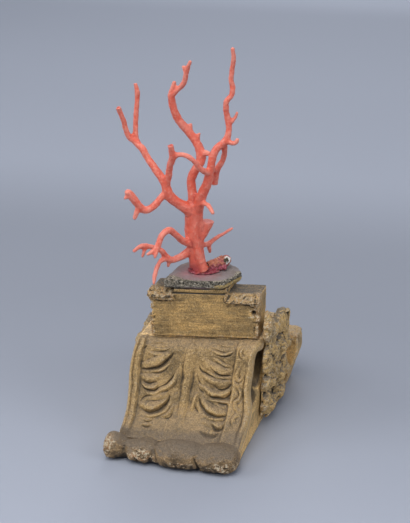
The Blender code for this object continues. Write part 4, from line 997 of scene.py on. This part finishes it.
bm = bmesh.new()
extruded(bm, SLAB_OUTLINE, SLAB_FOOT, SLAB_TOP - 0.25)
mesh = grown_together("shelf", bm, voxel=0.42, softening=3)
points = points_of(mesh)
x, y, z = points.T
under, lower = step_up(EDGE_FOOT, EDGE_FOOT - 1.2, z), step_up(EDGE_FOOT, SLAB_FOOT, z)
pull = SLAB_HOLLOW * (1 - step_up(-18, 4, y)) * (0.35 * under + 0.65 * lower)
y += pull
x -= (pull + 2.0 * lower) * step_up(10, 32, x)
move_points(mesh, points)
upright = 1 - step_up(0.5, 0.8, np.abs(normals_of(mesh)[:, 2]))
at_front = step_up(2, -8, y - 0.35 * x)
rim = upright * step_up(SLAB_TOP - 7, SLAB_TOP - 4, z)
roughen(mesh, 2.4, 0.9, rim * (0.4 + 0.6 * at_front))
roughen(mesh, 1.1, 0.42, rim)
roughen(mesh, 5.0, 0.3)
points = points_of(mesh)
x, y, z = points.T
chip_x, chip_y, chip_z = (((v - c) / r) ** 2 for v, c, r in zip(points.T, CHIP, CHIP_REACH))
chip = np.exp(-(chip_x + chip_y + chip_z))
z -= 2.2 * chip
y += 1.5 * chip
z[:] = np.clip(z, SLAB_FOOT, SLAB_TOP + 0.1)
move_points(mesh, points)
mark_relief(mesh, 26, 1.3)
from_rim = step_up(0.86, 1.02, np.hypot((x - 3) / 26, (y - 1) / 18.5))
mark(mesh, "edge", np.maximum(upright, 0.75 * from_rim * at_front))
gold_left = np.maximum(0.9 * under, 0.75 * upright * step_up(SLAB_TOP - 2, SLAB_TOP - 4.5, z))
mark(mesh, "gilt", gold_left * step_up(6, 21, x) + 0.6 * under * upright)
mark(mesh, "stain", np.exp(-(((x - 1) / 13) ** 2 + ((y + 2) / 11.5) ** 2)) * 1.1)
shelf = add_piece("shelf_board", mesh, finish_of("shelf wood", shelf_wood(), {}, 0.55, 0.35))
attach(shelf, "root")
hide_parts("cornice_slab")

# ---------------------------------------------------------------- the wax and the crust
# Dark red sealing wax, run out in a lumpy pool, holds the branch upright. Beside it the wax also
# holds a finger of the sea bed that the coral grew on: a crumbly orange and magenta crust that
# ends in a knot of white and black limy grains.
WAX_OUTLINE = [
    (-8.5, 1), (-6.6, -3.6), (-3, -6.2), (2.5, -6.9), (8.5, -6), (13.5, -3), (16.5, 1.5), (15, 6), (8, 9),
    (0, 8.4), (-6, 6), (-8.5, 1),
]
WAX_LUMPS = 46
# The finger's middle line and the lumps beside it, as (x, y, z, radius).
CRUST = [
    (7.4, 4, 133.6, 3), (10.8, 5.2, 134.3, 3.7), (14.5, 7, 134.8, 4.1), (17.8, 8.8, 135.2, 4.1),
    (19.9, 9.6, 136.8, 3.5),
]
CRUST_LUMPS = [
    (10, 2.4, 132, 2), (13, 3, 132.2, 1.9), (16, 4, 132.4, 2.1), (18.8, 5.2, 132.6, 2.3),
    (15.8, 9, 138.2, 2),
]
# The way the dark hole in the crust's end faces. The hole is not cut: it is painted shade, a
# nearly black patch.
CRUST_HOLE_SHADE = (0.15, -0.9, 0.4)


def wax_and_crust():
    """Grains in two colours with dark cracks and painted shade in their hollows, turning to white lime
    where the mark called lime is.
    """
    inputs = {
        "Color A": (0.4, 0.15, 0.1, 1),
        "Color B": (0.25, 0.06, 0.09, 1),
        "Grain": 500.0,
        "Gloss": 0.2,
    }
    tree, given, into, place = new_group("Wax and crust", inputs)
    relief, lime, low, thin, hole = stored(tree, "relief", "lime", "low", "thin", "hole")
    specks, patches = noise_at(place, given["Grain"], 3.0, 0.7), noise_at(place, 210.0)
    colour = mix(mask(plus(patches, times(low, 0.25)), 0.46, 0.66), given["Color A"], given["Color B"])
    colour = mix(mask(specks, 0.54, 0.66, 0.5), colour, (0.52, 0.3, 0.25, 1))
    colour = mix(mask(specks, 0.46, 0.36, 0.6), colour, (0.13, 0.03, 0.03, 1))
    film = broken_up(thin, patches, 1.2)
    colour = mix(mask(film, 0.3, 0.7, 0.9), colour, (0.23, 0.165, 0.175, 1))
    colour = mix(mask(broken_up(lime, specks, 0.9), 0.5, 0.62), colour, (0.62, 0.58, 0.54, 1))
    # Painted shade: nearly black where the mark called hole is, for the hole in the crust's end.
    hole = plus(hole, times(minus(plus(specks, patches), 1.0), 1.6))
    colour = mix(mask(hole, 0.48, 0.62), colour, (0.045, 0.04, 0.022, 1))
    # Painted shade: a red-black where the relief is low.
    colour = mix(mask(minus(1.0, relief), 0.58, 0.9, 0.8), colour, (0.05, 0.015, 0.015, 1))
    rough = minus(0.85, times(mask(patches, 0.3, 0.6), given["Gloss"]))
    put_out(tree, into, Color=colour, Roughness=rough, Height=specks)
    return tree


CRUMBS = wax_and_crust()
MAGENTA = (0.3, 0.06, 0.085, 1)


def waved(x, y, seed):
    """How much a place on the pool's outline is moved out or in, as a factor."""
    return 1 + 0.05 * noise.noise((x / 3, y / 3, seed))


random.seed(11)
bm = bmesh.new()
pool = smooth_route(WAX_OUTLINE, 1.0)[:-1]
pool = [(x * waved(x, y, 0) * 0.97, y * waved(x, y, 5) * 0.97) for x, y in pool]
extruded(bm, pool, SLAB_TOP + 0.3, SLAB_TOP + 1.0)
for _ in range(WAX_LUMPS):
    way, reach = random.uniform(0, math.tau), random.uniform(0.35, 0.86)
    radius = random.uniform(1.0, 2.1)
    x, y = 11.0 * reach * math.cos(way) + 3.5, 8.2 * reach * math.sin(way)
    ball(bm, (x, y, SLAB_TOP + 1.0), (radius, radius, 0.75 * radius), sides=10)
mesh = grown_together("wax", bm, voxel=0.3, softening=6)
points = points_of(mesh)
x, y, z = points.T
z[:] = np.clip(z, SLAB_TOP + 0.1, SLAB_TOP + 2.5)
move_points(mesh, points)
mark_relief(mesh, 20, 1.2)
mark(mesh, "thin", 0.6 * step_up(0.85, 1.05, np.hypot((x - 4) / 12, y / 8.5)))
wax_values = {"Color A": (0.22, 0.025, 0.04, 1), "Color B": MAGENTA, "Grain": 420.0, "Gloss": 0.25}
wax = add_piece("wax", mesh, finish_of("sealing wax", CRUMBS, wax_values, 0.2))
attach(wax, "root")
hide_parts("wax_pool")

bm = bmesh.new()
rod(bm, CRUST, 1.0, sides=16)
for *place, radius in CRUST_LUMPS:
    ball(bm, place, (radius,) * 3)
for point in smooth_route(CRUST, 0.35):
    for _ in range(5):
        way = Vector((random.uniform(-1, 1), random.uniform(-1, 1), random.uniform(-0.6, 1))).normalized()
        grain = random.uniform(0.5, 1.0)
        ball(bm, Vector(point[:3]) + way * (point[3] - 0.3 * grain), (grain,) * 3, sides=6)
mesh = grown_together("crust", bm, voxel=0.3, softening=2)
points = points_of(mesh)
x, y, z = points.T
z[:] = np.maximum(z, SLAB_TOP + 0.2)
move_points(mesh, points)
roughen(mesh, 1.5, 0.5, step_up(SLAB_TOP + 0.3, SLAB_TOP + 1, z))
mark_relief(mesh, 16, 0.9)
# The end of the crust that faces the hole's way is marked for the painted shade of the hole.
end = points - CRUST[-1][:3]
from_end = np.linalg.norm(end, axis=1)
facing_out = end @ np.array(CRUST_HOLE_SHADE) / np.maximum(from_end, 0.1)
at_end = step_up(5.0, 4.1, from_end)
mark(mesh, "hole", 0.92 * at_end * step_up(0.6, 1.05, facing_out))
rim_side = step_up(-1.6, 0.8, end[:, 0] + 0.3 * end[:, 2])
speckled = 0.44 * np.maximum(step_up(136.8, 138.8, z), step_up(17.5, 20.5, x))
mark(mesh, "lime", np.maximum(at_end * rim_side * step_up(0.35, 0.7, facing_out), speckled))
mark(mesh, "low", 1 - step_up(SLAB_TOP + 2.0, SLAB_TOP + 5.5, z))
crust_values = {"Color A": (0.42, 0.15, 0.09, 1), "Color B": MAGENTA, "Grain": 620.0, "Gloss": 0.1}
crust = add_piece("crust", mesh, finish_of("sea-bed crust", CRUMBS, crust_values, 0.4, 0.4))
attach(crust, "root")
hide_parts("foot_crust")

# ---------------------------------------------------------------- the coral
# One branch of red coral: a hard stem that forks into limbs and twigs, all in one skin. It has the
# satin of rubbed coral over fine lines along the limbs, is paler at its tips, and shows a darker
# heart where a limb was sawn or has snapped.
BLUNT_LIMBS = ("cut stub", "right strand", "left short tip", "inner twig", "arch", "left limb")
HIDDEN_ENDS = ("arch", "strand bridge", "front rib", "left rib", "right rib", "trunk", "left limb")
# Each limb is a route of (x, y, z, radius). The ribs are swellings that run up the stem, where its
# limbs begin.
LIMBS = {
    "trunk": [
        (1.8, 0, SLAB_TOP + 0.6, 7.4), (1.6, 0, 131, 6.6), (0.8, 0, 137, 5.4), (-1, 0, 147, 5.2),
        (-2.4, 0, 156, 6), (-3.2, 0, 166, 6.4), (-3.2, -1, 176, 6), (-2.2, -1, 183, 5),
    ],
    "cut stub": [(0.5, 0.5, 155, 3.6), (4, 2.6, 162, 3.8), (6.2, 4.4, 168, 4.4), (6.6, 4.6, 170, 4.5)],
    "drooping stub": [
        (1, -2, 186, 2.2), (8.5, -8, 187.2, 1.6), (11.8, -11, 185.5, 1.5), (14, -13, 183, 1.3),
    ],
    "left limb": [
        (-2, -1, 174, 4.2), (-7, -4, 181, 4.4), (-13, -7, 186, 3.8), (-18.5, -10, 192, 3.7),
        (-20.5, -11, 198, 3.5), (-22, -11, 203, 3.1), (-26, -10, 208, 2.9), (-32, -8, 215, 2.6),
        (-36, -6, 219.5, 2.5), (-39.5, -5, 225, 2.5), (-44, -3, 229, 2.3), (-45.5, -1, 235.5, 1.85),
        (-45.5, 1, 247, 1.8), (-44.5, 2, 259, 1.8), (-44.3, 2, 265, 1.75), (-45.8, 2, 272, 1.3),
    ],
    "left short tip": [
        (-42.5, -3.5, 228, 2.2), (-49, -4, 232.5, 1.95), (-51.5, -5, 238.5, 1.9), (-52.5, -6, 244.5, 1.8),
        (-54.5, -8, 252, 1.8), (-55.5, -10, 257, 1.6),
    ],
    "inner twig": [
        (-21, -11, 199.5, 2.7), (-18.5, -13, 209.5, 2.4), (-17, -15, 217, 2.3), (-14.5, -17, 224, 2.4),
        (-14.7, -19, 230.5, 2.1), (-15.2, -20, 235, 2.1),
    ],
    "arch": [
        (-14.7, -17, 223, 2.1), (-10, -18, 227, 1.7), (-4, -18, 226.5, 1.65), (0.7, -17, 223, 1.75),
        (4.2, -14, 217, 1.9), (7.5, -10, 213, 2.1), (9.5, -6, 211, 2.3),
    ],
    "left low": [
        (-19, -10.5, 196.5, 2.8), (-24.5, -13, 191.5, 2.5), (-27.5, -15, 187.5, 2.5), (-32, -18, 184, 2.5),
        (-36, -20, 184.3, 2.6), (-39.2, -22, 188.5, 2.8), (-42.5, -24, 194.5, 2.8),
        (-45.5, -25, 198.5, 2.6),
    ],
    "left low drop": [(-38.5, -21.5, 188, 2), (-39.8, -23, 184, 1.8), (-41.2, -24, 178.8, 1.4)],
    "left low bump": [(-44, -24.5, 197, 2), (-47.5, -26.5, 194.5, 1.2)],
    "centre": [
        (-1.2, -1, 180, 4.4), (-3.5, 0, 187.5, 3.6), (-5, 2, 195, 3.2), (-5.7, 4, 201, 3.2),
        (-3.5, 5, 207.4, 3.2), (0, 6, 212.5, 3.3), (1, 7, 218.5, 3.5), (-1, 8, 225, 3.1), (-5.5, 9, 232, 3),
        (-10, 9, 237.2, 3), (-14.7, 8, 243, 2.9), (-17.7, 7, 249, 2.8), (-19.6, 6, 255.7, 2.6),
        (-20.2, 5, 263, 2.4), (-19, 5, 268.5, 1.8), (-17.9, 5, 272.5, 1.2),
    ],
    "centre long tip": [
        (-20.3, 5.2, 262.5, 2), (-15.7, 4, 267.5, 1.8), (-12, 3, 271, 1.8), (-9.4, 2, 275.2, 1.8),
        (-8.2, 1, 281, 1.9), (-6.7, 0, 285.6, 1.6), (-5.1, -1, 289.5, 1.2),
    ],
    "centre small tip": [(-8.2, 1, 280.5, 1.6), (-10.3, 1.5, 285, 1.1)],
    "centre spur": [(-8, 9, 235, 2.2), (-7, 9.5, 241, 1.2)],
    "centre bud": [(-2.5, 8.5, 229, 2), (-0.8, 9.5, 234.5, 0.9)],
    "centre stub": [(0.5, 7, 219.5, 3), (4.5, 5.5, 221.5, 2.3), (7.2, 4.5, 221.5, 1.8)],
    "right": [
        (0, -1.5, 180.5, 4.2), (3, -3, 190.5, 3.8), (6.5, -4, 198.3, 3.5), (9, -5, 205.7, 3.2),
        (10.1, -5, 212, 2.9), (11.5, -5, 219.5, 2.8), (12.8, -4, 225.3, 2.7), (15.5, -3, 229.5, 2.6),
        (20, -2, 233.5, 2.6), (22.2, -1, 238.5, 2.2), (22.5, 0, 244.5, 2.15), (21.2, 0, 252, 2.1),
        (20.6, -1, 258.7, 1.95), (21.2, -1, 263, 1.85), (24.3, 0, 267, 1.85), (24.8, 1, 272.5, 1.9),
        (23.7, 1, 278.5, 1.8), (24.3, 1, 284.5, 1.7), (25.5, 0, 292.6, 1.65), (25, -1, 300.1, 1.35),
    ],
    "right knob": [
        (20.5, -2, 234, 1.9), (25.5, -2.5, 233, 1.5), (28.3, -3, 233.6, 1.6), (29.3, -3, 236, 1.4),
    ],
    "right spur": [(22.3, 0, 247, 1.8), (25, 1, 248.2, 1.3), (27, 1.5, 250.7, 1.2), (28, 2, 254, 0.9)],
    "right strand": [
        (19.5, -2, 233, 2.2), (19.3, 2, 224.5, 1.9), (17.4, 4, 217, 1.9), (13.8, 4, 211.3, 2.2),
        (12, 5, 205.5, 2.6), (10.8, 6, 197.5, 2.6),
    ],
    "strand bridge": [(10.8, -4, 213, 2), (12.6, 1, 210.5, 1.8), (13.4, 4, 210.3, 1.8)],
    "low arm": [
        (-2, -1, 151, 3), (-6, -4, 154, 2.8), (-9.5, -8, 157, 2.5), (-13.5, -13, 163.4, 2.4),
        (-17, -18, 169, 2.4), (-20.3, -22, 168, 2.3), (-23, -25, 163, 2.2), (-24.6, -27, 157.5, 2.2),
        (-27.7, -29, 155.6, 1.6), (-30.2, -31, 154.2, 1.1),
    ],
    "low arm twig": [(-24.3, -26.5, 158.5, 1.9), (-24.4, -29, 155, 1.4), (-25.2, -30.5, 152, 1)],
    "low sweep": [
        (-2, 0, 150, 3.6), (-6.6, -1.5, 146.5, 3.1), (-9.8, -4, 144, 2.7), (-15.2, -7, 141.5, 2.5),
        (-19.3, -9, 141.6, 2.4), (-22.4, -10, 144.5, 2.2), (-25, -12, 149.5, 2), (-28.6, -14, 151.7, 1.9),
        (-33, -17, 154.2, 1.75), (-37.5, -20, 155.5, 1.7), (-43, -23, 152.3, 1.1),
    ],
    "low sweep twig": [(-34, -17.5, 154.6, 1.6), (-36, -20, 151.6, 1.3), (-37.1, -21, 147.5, 0.9)],
    "low sweep drop": [
        (-21, -9.5, 142.8, 2), (-25, -14, 142, 1.7), (-26.8, -19, 138.4, 1.6), (-27.7, -23, 133.6, 1.6),
        (-27.6, -25.5, 129, 1.2),
    ],
    "low sweep spur": [(-20.2, -9, 141.5, 1.6), (-20.4, -10, 136.8, 0.9)],
    "back twig": [
        (0.5, 1, 150.5, 2.3), (3, 5, 149.4, 2), (6.3, 10, 148.8, 1.8), (11, 13, 152.5, 1.4),
        (16.6, 16, 155.4, 1.2), (22.4, 19, 159, 0.8),
    ],
    "back twig drop": [(6, 9.5, 149, 1.9), (6.8, 11, 141.5, 1.1)],
    "front rib": [
        (4.4, -2.4, 131.5, 4.2), (2.6, -3.2, 140, 3.2), (0.2, -4, 152, 2.8), (-1.2, -4.2, 165, 2.7),
        (-1.4, -3.4, 178, 2.8),
    ],
    "left rib": [
        (-2.6, -1.2, 133, 3.6), (-3.4, -1, 142, 3.4), (-5.6, -1, 156, 3.5), (-6.3, -0.8, 166, 3.3),
        (-6.2, -1.4, 176, 3.2),
    ],
    "right rib": [(1.6, 1, 150, 3), (1.2, 0.5, 160, 3.2), (0.8, 0, 172, 3.2), (0.8, -1, 182, 3.2)],
}


def coral_skin():
    """Orange-red coral with paler patches and tips, fine lines, a wax stain and dark broken ends."""
    inputs = {
        "Red": (0.68, 0.12, 0.07, 1),
        "Pale": (0.72, 0.19, 0.13, 1),
        "Deep": (0.42, 0.05, 0.04, 1),
        "Chalk": (0.8, 0.38, 0.3, 1),
        "Stain": (0.25, 0.022, 0.034, 1),
    }
    tree, given, into, place = new_group("Coral skin", inputs)
    relief, tip, cut, foot, lines = stored(tree, "relief", "tip", "cut", "foot", "lines")
    patches, specks = noise_at(place, 120.0, 4.0), noise_at(place, 700.0, 3.0, 0.7)
    colour = mix(mask(plus(patches, times(tip, 0.12)), 0.42, 0.72), given["Red"], given["Pale"])
    proud = broken_up(relief, specks, 0.6)
    colour = mix(mask(proud, 0.7, 1.0, 0.3), colour, given["Chalk"])
    # Painted shade: deep red where the relief is low, in dips and the crooks between limbs.
    colour = mix(mask(minus(1.0, proud), 0.58, 0.95, 0.6), colour, given["Deep"])
    colour = mix(times(foot, 0.85), colour, given["Stain"])
    colour = mix(times(cut, 0.6), colour, given["Deep"])
    rough = plus(times(specks, 0.25), 0.3)
    height = plus(times(lines, 0.5), times(specks, 0.5))
    put_out(tree, into, Color=colour, Roughness=rough, Height=height)
    return tree


# Where limbs meet, this much coral fills the crook between them.
WEB = 0.9
LINE_STEP = 0.8
bm = bmesh.new()
for name, route in LIMBS.items():
    rod(bm, [(x, y, z, r + WEB) for x, y, z, r in route], 1.1, sides=16, blunt=name in BLUNT_LIMBS)
mesh = grown_together("coral", bm, voxel=0.45, softening=3, closing=WEB - 0.1)
roughen(mesh, 4.5, 0.32)
roughen(mesh, 1.5, 0.1)
points = points_of(mesh)
x, y, z = points.T
routes = [smooth_route(route, LINE_STEP) for route in LIMBS.values()]
middles = np.vstack(routes)
tree = kdtree.KDTree(len(middles))
for i, middle in enumerate(middles):
    tree.insert(middle[:3], i)
tree.balance()
nearest = np.array([tree.find(p)[1] for p in points])
headings = np.vstack([np.gradient(route[:, :3], axis=0) for route in routes])[nearest]
heading = headings / np.linalg.norm(headings, axis=1)[:, None]
around = points - middles[nearest][:, :3]
around -= (around * heading).sum(1)[:, None] * heading
turn = np.arctan2(around[:, 1], around[:, 0]) + 0.02 * z
lines = np.array([noise.noise((a * 5.0, 0.09 * c, b * 0.12)) for a, b, c in zip(turn, x, z)])
tip, cut = np.zeros(len(points)), np.zeros(len(points))
for name, route in LIMBS.items():
    if name in HIDDEN_ENDS:
        continue
    *end, radius = route[-1]
    away = np.linalg.norm(points - end, axis=1)
    tip = np.maximum(tip, 1 - step_up(1.5, 12.0, away))
    if name in BLUNT_LIMBS:
        cut = np.maximum(cut, 1 - step_up(radius * 0.75, radius * 1.1, away))
on_stem = step_up(-12, -10, x)
waxed = (1 - step_up(SLAB_TOP + 2, SLAB_TOP + 13, z)) * step_up(7.0, 0.0, x)
low_down = 0.6 * (1 - step_up(SLAB_TOP + 1, SLAB_TOP + 4, z))
mark(mesh, "tip", tip)
mark(mesh, "cut", cut)
mark(mesh, "foot", on_stem * np.maximum(waxed, low_down))
mark(mesh, "lines", 0.5 + lines)
mark_relief(mesh, 12, 0.5)
skin = finish_of("coral skin", coral_skin(), {}, 0.22, 0.45, subsurface=0.08)
skin.node_tree.nodes["Principled BSDF"].inputs["Subsurface Scale"].default_value = 1.5 * MM
coral = add_piece("coral_branch", mesh, skin)
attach(coral, "root")
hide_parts(*(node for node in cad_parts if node.startswith("coral_")))

# ---------------------------------------------------------------- the studio
# A wide blue-grey paper floor, soft light from the upper left and a weaker one from the right.
CAMERA_TURN, CAMERA_RISE = math.radians(12), math.radians(24)
CAMERA_AWAY, CAMERA_LENS = 872.0, 80.0
AIM_RIGHT, AIM_UP, AIM_HEIGHT = 5.25, 7.125, 130.0
# Painted light and shade on the paper: how bright it is painted along its depth from near to
# far, darkest just behind the object.
PAPER_PAINTED_LIGHT = ((0.02, 1.0), (0.26, 0.7), (0.315, 0.7), (0.45, 0.92), (0.62, 0.9), (0.9, 0.84))


def paper():
    """Matt paper, with its brightness painted along its depth, and painted shade just behind the middle."""
    tree, given, into, place = new_group("Paper", {"Tint": (0.4, 0.42, 0.48, 1)})
    depth = add_node(tree, "ShaderNodeSeparateXYZ", {0: place}).outputs["Y"]
    limits = {"Value": depth, "From Min": -0.3, "From Max": 1.7}
    share = add_node(tree, "ShaderNodeMapRange", limits).outputs[0]
    ramp = add_node(tree, "ShaderNodeValToRGB", {0: share})
    ramp.color_ramp.interpolation = "EASE"
    stops = ramp.color_ramp.elements
    for far, shade in PAPER_PAINTED_LIGHT:
        stops.new(far).color = (shade, shade, shade, 1)
    stops.remove(stops[0])
    tint = mix(1.0, given["Tint"], ramp.outputs[0], "MULTIPLY")
    rough = plus(times(noise_at(place, 2.2, 2.0), 0.1), 0.8)
    put_out(tree, into, Color=tint, Roughness=rough, Height=noise_at(place, 900.0, 2.0))
    return tree


bm = bmesh.new()
bmesh.ops.create_circle(bm, segments=96, radius=9.0, cap_ends=True)
tint = {"Tint": (0.33, 0.355, 0.42, 1)}
floor = add_piece("floor", mesh_of("floor", bm), finish_of("blue-grey paper", paper(), tint, 0.05, 0.2))


def facing_back(way):
    """The turn that makes a camera or a lamp look against this way."""
    return way.to_track_quat("Z", "Y").to_matrix().to_4x4()


level = math.cos(CAMERA_RISE)
back = Vector((math.sin(CAMERA_TURN) * level, -math.cos(CAMERA_TURN) * level, math.sin(CAMERA_RISE)))
right = Vector((math.cos(CAMERA_TURN), math.sin(CAMERA_TURN), 0))
aim = Vector((0, 0, AIM_HEIGHT)) + right * AIM_RIGHT + back.cross(right) * AIM_UP
camera = bpy.data.objects.new("camera", bpy.data.cameras.new("camera"))
camera.data.lens = CAMERA_LENS
camera.data.sensor_width = 36.0
camera.data.clip_start = 0.01
camera.matrix_world = Matrix.Translation((aim + back * CAMERA_AWAY) * MM) @ facing_back(back)
bpy.context.scene.collection.objects.link(camera)
bpy.context.scene.camera = camera


def softbox(name, place, towards, size, power, colour=(1, 1, 1)):
    """A round soft lamp. Its places and its size are in metres."""
    lamp = bpy.data.lights.new(name, "AREA")
    lamp.shape, lamp.size, lamp.energy, lamp.color = "DISK", size, power, colour
    made = bpy.data.objects.new(name, lamp)
    made.matrix_world = Matrix.Translation(place) @ facing_back(Vector(place) - Vector(towards))
    bpy.context.scene.collection.objects.link(made)


softbox("overhead light", (-0.2, -1.0, 1.9), (0, 0, 0.12), 1.8, 36.0, (1.0, 0.985, 0.96))
softbox("left light", (-1.6, -0.6, 1.1), (0, 0, 0.12), 1.2, 13.0)
softbox("right light", (1.7, -0.5, 1.1), (0, 0, 0.12), 1.2, 12.0, (0.97, 0.98, 1.0))
softbox("back light", (0.0, 2.2, 1.8), (0, 1.5, 0), 1.6, 25.0)
world = bpy.data.worlds.new("room")
world.use_nodes = True
world.node_tree.nodes["Background"].inputs["Color"].default_value = (0.55, 0.6, 0.7, 1)
world.node_tree.nodes["Background"].inputs["Strength"].default_value = 0.46
bpy.context.scene.world = world
bpy.context.scene.view_settings.view_transform = "Standard"
